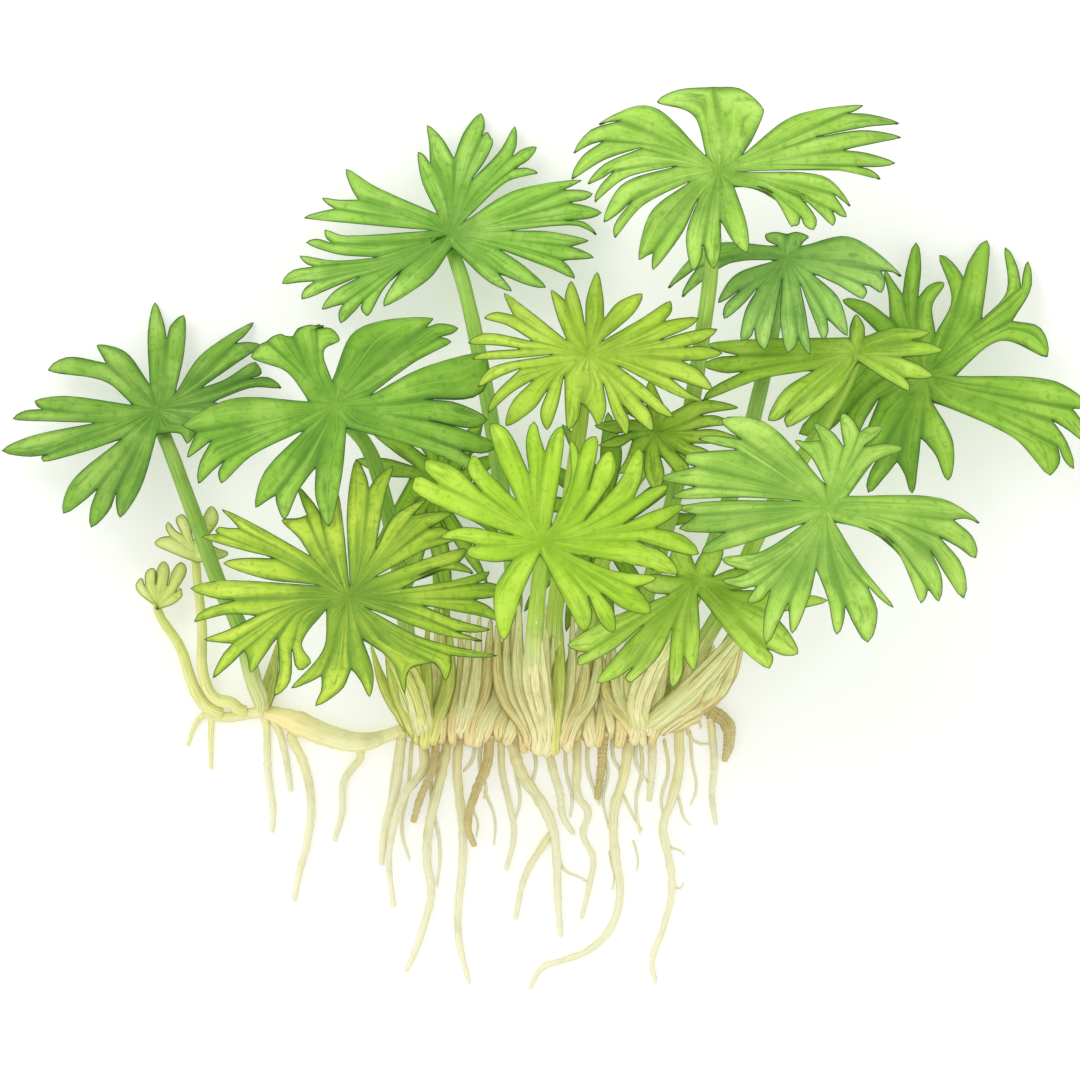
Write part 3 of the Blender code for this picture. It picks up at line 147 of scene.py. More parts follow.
LEAVES: dict[str, LeafPlan] = {
    "leaf_left": LeafPlan(
        hub=(158, 409), height=7.2, lean=0.4, roll=0.0, lift=1.2, droop=2.5,
        sheath=((262, 709, 0.9), (260, 698, 2.4), (254, 682, 3.7)),
        stalk=((254, 682, 3.7), (240, 628, 4.8), (221, 588, 6.0), (200, 530, 7.2), (176, 465, 6.6)),
        palette=Palette.LEFT,
        teeth=(
            ((150, 384), (148, 332), (155, 302), (164, 322)),
            ((167, 338), (171, 325), (184, 315), (185, 350)),
            ((176, 393), (202, 354), (254, 322), (245, 336)),
            ((236, 343), (248, 342), (261, 345), (232, 367)),
            ((202, 388), (224, 380), (256, 362), (262, 374)),
            ((250, 379), (268, 377), (282, 388), (252, 388)),
            ((214, 402), (232, 408), (240, 428), (222, 432)),
            ((200, 424), (196, 434), (188, 444), (180, 434)),
            ((158, 434), (142, 488), (121, 518), (117, 506)),
            ((117, 493), (111, 510), (92, 528), (91, 510)),
            ((98, 489), (88, 499), (64, 514), (72, 482)),
            ((122, 439), (92, 450), (44, 462), (42, 457)),
            ((48, 455), (28, 457), (2, 451), (32, 436)),
            ((95, 423), (58, 422), (13, 419), (24, 411)),
            ((42, 409), (38, 407), (35, 401), (66, 396)),
            ((133, 405), (106, 382), (48, 370), (68, 357)),
            ((106, 363), (101, 354), (97, 345), (126, 352)),
        ),
    ),
    "leaf_upper_left": LeafPlan(
        hub=(337, 405), height=19.0, lean=0.4, roll=0.0, lift=1.2, droop=2.5,
        sheath=((418, 729, 2.5), (410, 690, 5.6), (408, 656, 8.2)),
        stalk=((408, 650, 8.5), (398, 560, 12.5), (385, 500, 14.5), (368, 448, 15.5)),
        palette=Palette.UPPER_LEFT,
        teeth=(
            ((333, 381), (358, 330), (434, 319), (430, 325)),
            ((427, 328), (441, 324), (459, 329), (452, 335)),
            ((440, 338), (447, 339), (452, 343), (414, 364)),
            ((371, 396), (424, 368), (486, 354), (482, 394)),
            ((426, 400), (456, 403), (488, 420), (474, 429)),
            ((430, 421), (462, 429), (498, 446), (484, 454)),
            ((462, 451), (474, 460), (480, 474), (430, 452)),
            ((348, 428), (343, 478), (330, 527), (317, 498)),
            ((317, 468), (301, 490), (286, 520), (278, 504)),
            ((277, 496), (269, 501), (257, 508), (266, 472)),
            ((305, 431), (254, 456), (223, 484), (220, 472)),
            ((226, 461), (215, 471), (200, 484), (201, 464)),
            ((213, 441), (202, 450), (189, 458), (196, 436)),
            ((198, 433), (192, 431), (184, 426), (234, 399)),
            ((310, 402), (288, 373), (252, 358), (260, 346)),
            ((268, 342), (274, 337), (284, 335), (290, 337)),
            ((294, 337), (299, 329), (316, 326), (326, 327)),
            ((318, 329), (332, 329), (341, 341), (325, 352)),
        ),
        bends={16: (311, 376), 17: (319, 370)},
    ),
    "leaf_top": LeafPlan(
        hub=(450, 235), height=7.6, lean=0.4, roll=0.0, lift=1.2, droop=2.5,
        sheath=((536, 732, 2.8), (517, 690, 3.7), (511, 656, 4.6)),
        stalk=((511, 650, 4.7), (514, 600, 6.0), (500, 480, 7.0), (482, 370, 7.0), (465, 290, 6.6)),
        palette=Palette.TOP,
        teeth=(
            ((437, 214), (422, 182), (418, 152), (424, 155)),
            ((430, 163), (429, 142), (427, 125), (442, 138)),
            ((454, 158), (464, 132), (481, 113), (485, 127)),
            ((482, 136), (487, 132), (493, 140), (486, 160)),
            ((472, 180), (499, 152), (515, 126), (517, 144)),
            ((513, 156), (523, 149), (537, 147), (529, 160)),
            ((515, 169), (526, 168), (538, 173), (506, 183)),
            ((464, 222), (514, 191), (582, 180), (573, 186)),
            ((564, 190), (580, 190), (593, 194), (586, 200)),
            ((570, 203), (586, 206), (602, 213), (590, 219)),
            ((566, 221), (584, 222), (597, 235), (575, 226)),
            ((511, 231), (550, 232), (589, 241), (579, 245)),
            ((571, 247), (581, 250), (594, 258), (580, 260)),
            ((563, 261), (570, 268), (575, 279), (550, 269)),
            ((500, 250), (524, 266), (546, 288), (528, 286)),
            ((499, 274), (505, 281), (512, 292), (488, 282)),
            ((452, 248), (430, 279), (384, 307), (386, 296)),
            ((402, 270), (384, 290), (368, 317), (361, 309)),
            ((363, 302), (357, 310), (341, 324), (339, 313)),
            ((343, 305), (335, 307), (322, 310), (334, 292)),
            ((360, 277), (334, 288), (302, 300), (304, 290)),
            ((314, 282), (300, 283), (282, 284), (292, 271)),
            ((313, 267), (306, 264), (300, 256), (335, 261)),
            ((378, 258), (338, 255), (306, 243), (317, 239)),
            ((331, 243), (326, 238), (325, 230), (345, 236)),
            ((431, 231), (372, 226), (304, 218), (316, 213)),
            ((334, 209), (328, 205), (322, 198), (338, 200)),
            ((358, 200), (351, 188), (346, 169), (376, 187)),
        ),
        bends={18: (405, 265), 19: (400, 264), 20: (390, 268), 21: (387, 265), 22: (388, 262),
               23: (414, 246)},
    ),
    "leaf_middle": LeafPlan(
        hub=(588, 356), height=21.0, lean=0.4, roll=0.0, lift=1.2, droop=2.5,
        sheath=((549, 732, 3.0), (551, 690, 4.9), (552, 656, 6.9)),
        stalk=((552, 650, 7.4), (556, 600, 11.0), (572, 480, 16.0)),
        palette=Palette.MIDDLE,
        teeth=(
            ((585, 326), (586, 300), (597, 273), (603, 298)),
            ((604, 319), (618, 303), (642, 295), (634, 314)),
            ((602, 342), (640, 320), (670, 302), (671, 313)),
            ((664, 322), (680, 319), (698, 319), (688, 329)),
            ((660, 341), (690, 332), (717, 330), (704, 342)),
            ((684, 348), (702, 347), (722, 354), (704, 361)),
            ((682, 362), (699, 371), (712, 391), (694, 387)),
            ((670, 379), (688, 393), (704, 402), (679, 398)),
            ((618, 367), (649, 391), (673, 418), (657, 414)),
            ((640, 401), (650, 413), (652, 432), (637, 422)),
            ((622, 406), (629, 421), (626, 436), (614, 420)),
            ((603, 385), (606, 410), (598, 427), (590, 414)),
            ((581, 404), (579, 419), (568, 431), (565, 412)),
            ((564, 377), (557, 410), (547, 431), (540, 414)),
            ((548, 390), (534, 410), (506, 427), (512, 403)),
            ((533, 381), (512, 394), (488, 414), (494, 396)),
            ((520, 370), (502, 377), (478, 388), (492, 368)),
            ((552, 356), (508, 360), (472, 360), (484, 353)),
            ((520, 350), (500, 347), (468, 344), (486, 334)),
            ((532, 342), (508, 327), (484, 319), (496, 313)),
            ((513, 316), (508, 306), (504, 294), (530, 312)),
            ((566, 341), (556, 315), (551, 291), (559, 296)),
            ((565, 301), (565, 295), (571, 282), (580, 302)),
        ),
    ),
    "leaf_lower_left": LeafPlan(
        hub=(350, 597), height=25.0, lean=0.45, roll=0.0, lift=1.2, droop=2.5,
        sheath=((424, 729, 3.6), (416, 695, 8.6), (405, 667, 13.6)),
        stalk=((401, 662, 14.6), (375, 625, 20.0)),
        palette=Palette.LOWER_LEFT,
        teeth=(
            ((351, 586), (348, 510), (357, 459), (368, 478)),
            ((370, 488), (378, 477), (394, 466), (386, 496)),
            ((377, 549), (394, 516), (428, 499), (418, 511)),
            ((414, 515), (432, 512), (453, 513), (440, 523)),
            ((430, 528), (444, 527), (459, 538), (424, 551)),
            ((376, 577), (430, 557), (467, 548), (464, 558)),
            ((460, 562), (466, 565), (474, 573), (440, 570)),
            ((403, 588), (453, 580), (490, 571), (486, 579)),
            ((478, 583), (490, 582), (504, 588), (494, 597)),
            ((475, 599), (490, 606), (502, 621), (482, 616)),
            ((424, 605), (458, 619), (491, 629), (476, 632)),
            ((458, 631), (470, 635), (483, 640), (440, 634)),
            ((367, 607), (424, 637), (498, 655), (474, 657)),
            ((452, 655), (452, 667), (446, 680), (440, 668)),
            ((434, 662), (411, 668), (406, 693), (392, 660)),
            ((364, 638), (375, 672), (371, 696), (362, 680)),
            ((353, 668), (344, 688), (317, 705), (323, 688)),
            ((323, 675), (312, 681), (293, 687), (325, 648)),
            ((328, 609), (304, 642), (313, 662), (300, 669)),
            ((294, 649), (292, 681), (276, 695), (281, 668)),
            ((279, 637), (266, 656), (253, 672), (249, 656)),
            ((246, 650), (236, 661), (215, 677), (224, 655)),
            ((234, 643), (222, 642), (206, 639), (230, 629)),
            ((258, 615), (230, 614), (196, 621), (206, 609)),
            ((236, 600), (216, 598), (192, 588), (226, 580)),
            ((320, 585), (264, 578), (225, 563), (242, 558)),
            ((277, 558), (240, 549), (203, 537), (214, 534)),
            ((219, 534), (217, 531), (220, 527), (230, 528)),
            ((240, 528), (234, 521), (223, 509), (256, 524)),
            ((311, 555), (300, 538), (283, 520), (300, 518)),
            ((308, 515), (303, 503), (299, 486), (316, 504)),
            ((322, 514), (328, 504), (338, 492), (344, 520)),
        ),
        bends={13: (405, 638), 14: (396, 642), 19: (303, 613), 20: (299, 609), 21: (297, 606),
               22: (296, 604), 23: (297, 601), 26: (314, 577), 27: (298, 563), 28: (305, 560)},
    ),
    "leaf_centre": LeafPlan(
        hub=(542, 541), height=31.0, lean=0.4, roll=0.0, lift=1.2, droop=2.5,
        sheath=((545, 732, 4.0), (537, 690, 9.0), (533, 660, 14.9)),
        stalk=((533, 654, 16.2), (538, 590, 25.0)),
        palette=Palette.CENTRE,
        teeth=(
            ((516, 500), (497, 456), (491, 424), (509, 432)),
            ((529, 473), (526, 441), (534, 422), (541, 440)),
            ((545, 452), (551, 436), (562, 427), (561, 468)),
            ((551, 527), (570, 480), (570, 441), (576, 446)),
            ((579, 454), (585, 441), (596, 437), (596, 458)),
            ((588, 490), (597, 463), (610, 451), (614, 476)),
            ((584, 521), (618, 482), (639, 448), (642, 474)),
            ((634, 498), (648, 489), (668, 486), (652, 503)),
            ((623, 524), (655, 510), (683, 505), (670, 519)),
            ((655, 528), (682, 535), (698, 554), (674, 552)),
            ((637, 541), (664, 553), (677, 574), (640, 566)),
            ((572, 554), (612, 570), (656, 577), (646, 584)),
            ((635, 587), (644, 596), (650, 612), (624, 609)),
            ((601, 593), (613, 609), (613, 632), (598, 620)),
            ((588, 596), (592, 615), (584, 631), (564, 600)),
            ((540, 554), (523, 592), (504, 640), (494, 592)),
            ((512, 560), (492, 562), (467, 554), (470, 546)),
            ((476, 545), (462, 541), (441, 537), (466, 527)),
            ((513, 535), (460, 516), (412, 488), (418, 476)),
            ((438, 484), (425, 470), (426, 461), (456, 468)),
            ((482, 492), (468, 472), (474, 456), (490, 474)),
        ),
    ),
    "leaf_top_right": LeafPlan(
        hub=(718, 173), height=20.5, lean=0.4, roll=0.0, lift=1.2, droop=2.5,
        sheath=((636, 725, 2.5), (628, 690, 4.4), (632, 656, 5.4)),
        stalk=((633, 650, 5.6), (642, 610, 6.7), (668, 520, 8.5), (690, 410, 11.0), (703, 325, 16.2),
               (709, 280, 17.6), (713, 225, 18.0)),
        palette=Palette.TOP_RIGHT,
        teeth=(
            ((705, 158), (692, 117), (656, 104), (677, 92)),
            ((712, 89), (740, 91), (763, 112), (752, 140)),
            ((741, 157), (792, 118), (862, 107), (852, 114)),
            ((846, 115), (868, 116), (898, 125), (866, 129)),
            ((815, 139), (862, 132), (900, 139), (880, 144)),
            ((842, 152), (866, 155), (894, 165), (878, 169)),
            ((856, 169), (868, 171), (879, 181), (830, 172)),
            ((737, 174), (822, 178), (849, 208), (842, 204)),
            ((832, 196), (841, 209), (845, 219), (838, 218)),
            ((831, 213), (834, 221), (831, 228), (822, 220)),
            ((799, 198), (815, 221), (812, 232), (803, 228)),
            ((799, 219), (797, 227), (790, 229), (768, 196)),
            ((733, 188), (746, 228), (746, 255), (732, 244)),
            ((719, 222), (720, 250), (713, 271), (706, 262)),
            ((702, 247), (700, 262), (692, 273), (685, 238)),
            ((697, 201), (681, 236), (652, 272), (651, 262)),
            ((652, 255), (646, 258), (638, 262), (650, 214)),
            ((688, 184), (642, 208), (614, 240), (614, 226)),
            ((631, 203), (618, 216), (603, 224), (622, 186)),
            ((676, 168), (626, 180), (594, 204), (598, 190)),
            ((613, 173), (603, 180), (587, 186), (604, 166)),
            ((641, 150), (604, 162), (571, 181), (582, 158)),
            ((603, 143), (590, 147), (573, 155), (590, 132)),
            ((619, 123), (606, 125), (598, 126), (650, 108)),
        ),
        bends={6: (764, 166), 8: (770, 181), 9: (768, 183), 10: (765, 185), 11: (764, 186),
               20: (672, 164), 22: (670, 149), 23: (676, 146)},
    ),
    "leaf_right_drooping": LeafPlan(
        hub=(785, 258), height=14.5, lean=0.5, roll=0.0, lift=1.2, droop=3.5,
        sheath=((642, 725, 3.0), (650, 690, 4.7), (664, 656, 5.8)),
        stalk=((667, 650, 6.0), (691, 600, 7.5), (735, 480, 8.6), (757, 400, 9.2), (772, 330, 10.5)),
        palette=Palette.DROOPING,
        teeth=(
            ((776, 247), (766, 242), (764, 236), (774, 233)),
            ((786, 235), (796, 233), (808, 238), (803, 243)),
            ((800, 247), (850, 238), (901, 277), (890, 273)),
            ((880, 272), (884, 281), (880, 294), (868, 287)),
            ((862, 286), (866, 292), (862, 300), (836, 286)),
            ((812, 275), (838, 300), (846, 337), (834, 328)),
            ((826, 320), (827, 333), (822, 341), (813, 322)),
            ((799, 285), (806, 322), (809, 356), (800, 346)),
            ((797, 338), (795, 347), (786, 354), (779, 322)),
            ((781, 280), (772, 326), (764, 351), (755, 342)),
            ((753, 330), (750, 338), (740, 342), (744, 312)),
            ((756, 290), (741, 307), (723, 320), (724, 306)),
            ((738, 292), (727, 300), (717, 304), (734, 276)),
            ((776, 261), (728, 265), (681, 298), (686, 284)),
            ((696, 269), (683, 279), (667, 289), (708, 246)),
        ),
        bends={14: (750, 253)},
    ),
    "leaf_middle_hidden": LeafPlan(
        hub=(655, 432), height=14.2, lean=0.4, roll=0.0, lift=1.2, droop=2.5,
        sheath=((554, 732, 2.4), (572, 690, 3.9), (579, 656, 5.1)),
        stalk=((580, 650, 5.3), (590, 610, 6.9), (615, 520, 9.5)),
        palette=Palette.HIDDEN_MIDDLE,
        teeth=(
            ((668, 414), (700, 400), (738, 408), (712, 413)),
            ((700, 416), (716, 416), (732, 424), (712, 427)),
            ((694, 430), (716, 430), (742, 441), (714, 444)),
            ((690, 444), (706, 450), (722, 464), (700, 464)),
            ((676, 452), (688, 466), (692, 484), (676, 474)),
            ((660, 456), (664, 476), (656, 492), (644, 474)),
            ((644, 452), (634, 468), (618, 474), (626, 458)),
            ((632, 440), (618, 448), (598, 446), (612, 438)),
            ((630, 432), (614, 434), (594, 426), (616, 420)),
            ((636, 420), (624, 412), (612, 396), (632, 402)),
            ((648, 412), (644, 398), (650, 380), (660, 398)),
        ),
    ),
    "leaf_right_small": LeafPlan(
        hub=(855, 353), height=12.8, lean=0.4, roll=0.0, lift=1.2, droop=2.5,
        sheath=((648, 725, 2.4), (676, 690, 4.0), (694, 656, 5.0)),
        stalk=((698, 650, 5.1), (724, 605, 6.1), (775, 500, 8.0), (825, 420, 10.6)),
        palette=Palette.SMALL_RIGHT,
        teeth=(
            ((848, 338), (849, 326), (855, 315), (863, 326)),
            ((864, 337), (892, 328), (929, 333), (920, 339)),
            ((911, 341), (926, 343), (942, 351), (926, 356)),
            ((901, 358), (918, 365), (932, 377), (918, 380)),
            ((904, 379), (908, 384), (908, 392), (882, 379)),
            ((857, 362), (838, 394), (786, 428), (783, 419)),
            ((789, 411), (779, 420), (767, 421), (782, 391)),
            ((812, 371), (760, 380), (702, 401), (710, 389)),
            ((742, 372), (725, 374), (702, 366), (716, 358)),
            ((736, 356), (720, 352), (706, 345), (742, 340)),
        ),
    ),
    "leaf_far_right": LeafPlan(
        hub=(925, 375), height=8.0, lean=0.4, roll=0.0, lift=1.2, droop=2.5,
        sheath=((654, 724, 2.0), (698, 694, 3.9), (721, 656, 5.4)),
        stalk=((726, 650, 5.6), (752, 612, 6.4), (820, 520, 6.3), (880, 440, 6.0)),
        palette=Palette.FAR_RIGHT,
        teeth=(
            ((880, 336), (862, 318), (842, 300), (866, 302)),
            ((889, 318), (888, 296), (884, 270), (893, 281)),
            ((902, 294), (906, 268), (916, 242), (921, 264)),
            ((918, 297), (929, 285), (944, 283), (932, 306)),
            ((935, 333), (951, 300), (939, 255), (953, 263)),
            ((963, 277), (969, 260), (987, 240), (988, 268)),
            ((981, 320), (1006, 292), (1005, 247), (1017, 266)),
            ((1021, 287), (1023, 272), (1028, 261), (1031, 288)),
            ((1012, 321), (1040, 328), (1047, 357), (1000, 341)),
            ((954, 376), (1050, 380), (1086, 404), (1080, 409)),
            ((1072, 409), (1080, 420), (1085, 441), (1066, 430)),
            ((1051, 420), (1066, 442), (1073, 469), (1063, 461)),
            ((1057, 447), (1059, 462), (1049, 476), (1012, 438)),
            ((931, 401), (952, 442), (947, 481), (934, 455)),
            ((920, 438), (917, 465), (911, 494), (903, 474)),
            ((896, 462), (885, 476), (867, 493), (868, 474)),
            ((884, 446), (874, 452), (862, 450), (866, 430)),
            ((878, 399), (866, 418), (852, 440), (846, 424)),
            ((846, 414), (826, 432), (798, 434), (822, 403)),
        ),
    ),
    "leaf_lower_right": LeafPlan(
        hub=(825, 508), height=26.0, lean=0.4, roll=0.0, lift=1.2, droop=2.5,
        sheath=((648, 724, 5.0), (684, 695, 8.0), (710, 669, 9.5)),
        stalk=((715, 664, 9.9), (738, 637, 12.2), (775, 590, 14.8), (800, 550, 19.0)),
        palette=Palette.LOWER_RIGHT,
        teeth=(
            ((824, 486), (810, 459), (793, 441), (804, 442)),
            ((818, 441), (815, 433), (812, 424), (830, 432)),
            ((842, 447), (839, 430), (840, 414), (852, 421)),
            ((858, 432), (866, 427), (880, 428), (873, 439)),
            ((862, 447), (881, 444), (901, 449), (870, 464)),
            ((846, 496), (937, 498), (977, 523), (963, 519)),
            ((951, 520), (970, 537), (973, 558), (955, 547)),
            ((937, 537), (960, 566), (961, 598), (944, 577)),
            ((928, 551), (939, 577), (936, 601), (929, 594)),
            ((925, 589), (923, 597), (918, 603), (886, 541)),
            ((832, 521), (858, 564), (891, 607), (879, 600)),
            ((866, 587), (875, 612), (865, 642), (850, 622)),
            ((843, 606), (841, 622), (834, 634), (825, 598)),
            ((814, 569), (807, 598), (790, 633), (787, 618)),
            ((786, 603), (778, 620), (764, 644), (762, 616)),
            ((768, 590), (760, 600), (746, 602), (750, 592)),
            ((754, 586), (740, 588), (720, 580), (736, 576)),
            ((746, 571), (734, 568), (720, 559), (760, 551)),
            ((803, 523), (756, 540), (700, 553), (708, 542)),
            ((724, 532), (706, 533), (678, 529), (688, 521)),
            ((694, 515), (686, 513), (677, 508), (716, 501)),
            ((799, 501), (744, 498), (671, 498), (680, 491)),
            ((694, 487), (680, 485), (660, 479), (674, 472)),
            ((694, 467), (684, 463), (684, 456), (704, 452)),
            ((735, 450), (716, 446), (697, 439), (714, 436)),
            ((740, 440), (728, 431), (720, 420), (766, 424)),
        ),
        bends={6: (893, 514), 7: (890, 519), 8: (887, 524), 9: (885, 529)},
    ),
    "leaf_low_small": LeafPlan(
        hub=(696, 578), height=19.0, lean=0.4, roll=0.0, lift=1.2, droop=2.5,
        sheath=((640, 724, 5.0), (638, 697, 7.8), (648, 673, 10.6)),
        stalk=((652, 668, 11.2), (668, 645, 14.0)),
        palette=Palette.LOW_SMALL,
        teeth=(
            ((697, 594), (699, 640), (693, 670), (685, 661)),
            ((683, 656), (681, 675), (671, 687), (668, 668)),
            ((671, 628), (658, 656), (629, 682), (624, 677)),
            ((632, 667), (615, 678), (596, 682), (612, 658)),
            ((643, 624), (612, 650), (578, 665), (578, 656)),
            ((586, 652), (578, 651), (567, 645), (600, 622)),
            ((668, 594), (650, 592), (636, 580), (652, 574)),
            ((676, 576), (668, 562), (676, 546), (688, 552)),
            ((694, 564), (702, 552), (722, 548), (720, 562)),
            ((712, 576), (736, 568), (768, 578), (746, 588)),
            ((730, 590), (780, 590), (827, 600), (806, 607)),
            ((772, 613), (788, 632), (797, 653), (782, 655)),
            ((766, 648), (772, 656), (768, 668), (736, 644)),
        ),
    ),
    "leaf_left_hidden": LeafPlan(
        hub=(438, 485), height=3.4, lean=0.06, roll=0.0, lift=1.0, droop=1.6,
        sheath=((433, 729, 2.2), (441, 690, 2.4), (444, 656, 1.9)),
        stalk=((444, 649, 1.85), (441, 600, 1.2)),
        palette=Palette.HIDDEN_LEFT,
        teeth=(
            ((410, 478), (386, 476), (356, 460), (384, 458)),
            ((414, 466), (394, 452), (372, 432), (400, 438)),
            ((426, 456), (412, 434), (400, 408), (424, 422)),
            ((438, 454), (432, 430), (438, 402), (454, 424)),
            ((450, 460), (458, 440), (482, 420), (478, 444)),
            ((462, 470), (478, 458), (500, 456), (484, 474)),
            ((466, 484), (482, 482), (503, 494), (484, 500)),
            ((462, 498), (480, 508), (500, 536), (474, 522)),
            ((452, 510), (468, 536), (488, 584), (458, 548)),
            ((440, 516), (450, 552), (450, 608), (432, 556)),
            ((426, 512), (426, 548), (408, 592), (408, 546)),
            ((416, 502), (402, 530), (370, 560), (386, 522)),
        ),
    ),
    "leaf_centre_low": LeafPlan(
        hub=(602, 520), height=3.4, lean=0.0, roll=0.0, lift=0.9, droop=1.4,
        sheath=((557, 732, 1.8), (574, 690, 1.7), (587, 655, 1.4)),
        stalk=((588, 649, 1.35), (592, 600, 1.25)),
        palette=Palette.HIDDEN_CENTRE,
        teeth=(
            ((574, 514), (552, 512), (514, 500), (550, 496)),
            ((578, 500), (558, 484), (526, 456), (566, 470)),
            ((588, 492), (576, 462), (562, 424), (592, 456)),
            ((602, 490), (600, 452), (608, 412), (622, 452)),
            ((614, 494), (634, 464), (666, 430), (650, 470)),
            ((626, 506), (654, 484), (696, 470), (662, 498)),
            ((632, 520), (664, 512), (708, 518), (666, 528)),
            ((618, 544), (638, 572), (662, 616), (624, 578)),
            ((606, 550), (612, 584), (614, 634), (596, 586)),
            ((594, 548), (586, 582), (566, 632), (570, 576)),
            ((584, 540), (564, 568), (524, 612), (550, 556)),
            ((574, 530), (548, 546), (514, 566), (542, 530)),
        ),
    ),
    "young_leaf_left": LeafPlan(
        hub=(158, 606), height=3.2, lean=0.1, roll=0.0, lift=0.3, droop=0.6,
        sheath=((224, 715, 0.7), (209, 709, 0.95), (200, 699, 1.2)),
        stalk=((200, 699, 1.2), (191, 680, 1.6), (181, 649, 1.8)),
        palette=Palette.YOUNG,
        teeth=(
            ((160, 609), (140, 594), (136, 584), (142, 578)),
            ((145, 585), (146, 572), (154, 568), (157, 576)),
            ((156, 584), (157, 570), (164, 561), (170, 570)),
            ((168, 585), (173, 570), (182, 562), (187, 572)),
            ((176, 592), (181, 588), (183, 594), (174, 604)),
        ),
    ),
    "young_leaf_right": LeafPlan(
        hub=(196, 556), height=4.6, lean=0.1, roll=0.0, lift=0.3, droop=0.6,
        sheath=((248, 713, 0.75), (238, 709, 1.1), (231, 703, 1.6)),
        stalk=((231, 703, 1.6), (216, 699, 1.8), (206, 684, 2.0), (202, 623, 2.8)),
        palette=Palette.YOUNG,
        teeth=(
            ((197, 563), (170, 552), (155, 543), (162, 537)),
            ((170, 536), (166, 528), (168, 522), (176, 530)),
            ((182, 534), (176, 520), (182, 514), (190, 524)),
            ((194, 540), (203, 518), (212, 506), (219, 520)),
            ((206, 540), (218, 548), (229, 553), (218, 560)),
        ),
    ),
}
RESTING_LEAVES = ("leaf_left", "leaf_top", "leaf_far_right")
YOUNG_LEAVES = ("young_leaf_left", "young_leaf_right")
RUNNER_LEAVES = ("leaf_left", *YOUNG_LEAVES)
BLUNT_LEAVES = ("leaf_centre", "leaf_lower_right", "leaf_far_right", *YOUNG_LEAVES)


@dataclass(frozen=True)
class TubePlan:
    """A tapered stem or root.

    Args:
        route: Points as (x, y, height in mm).
        radii: Radius in mm at each point.
    """

    route: Route
    radii: tuple[float, ...]


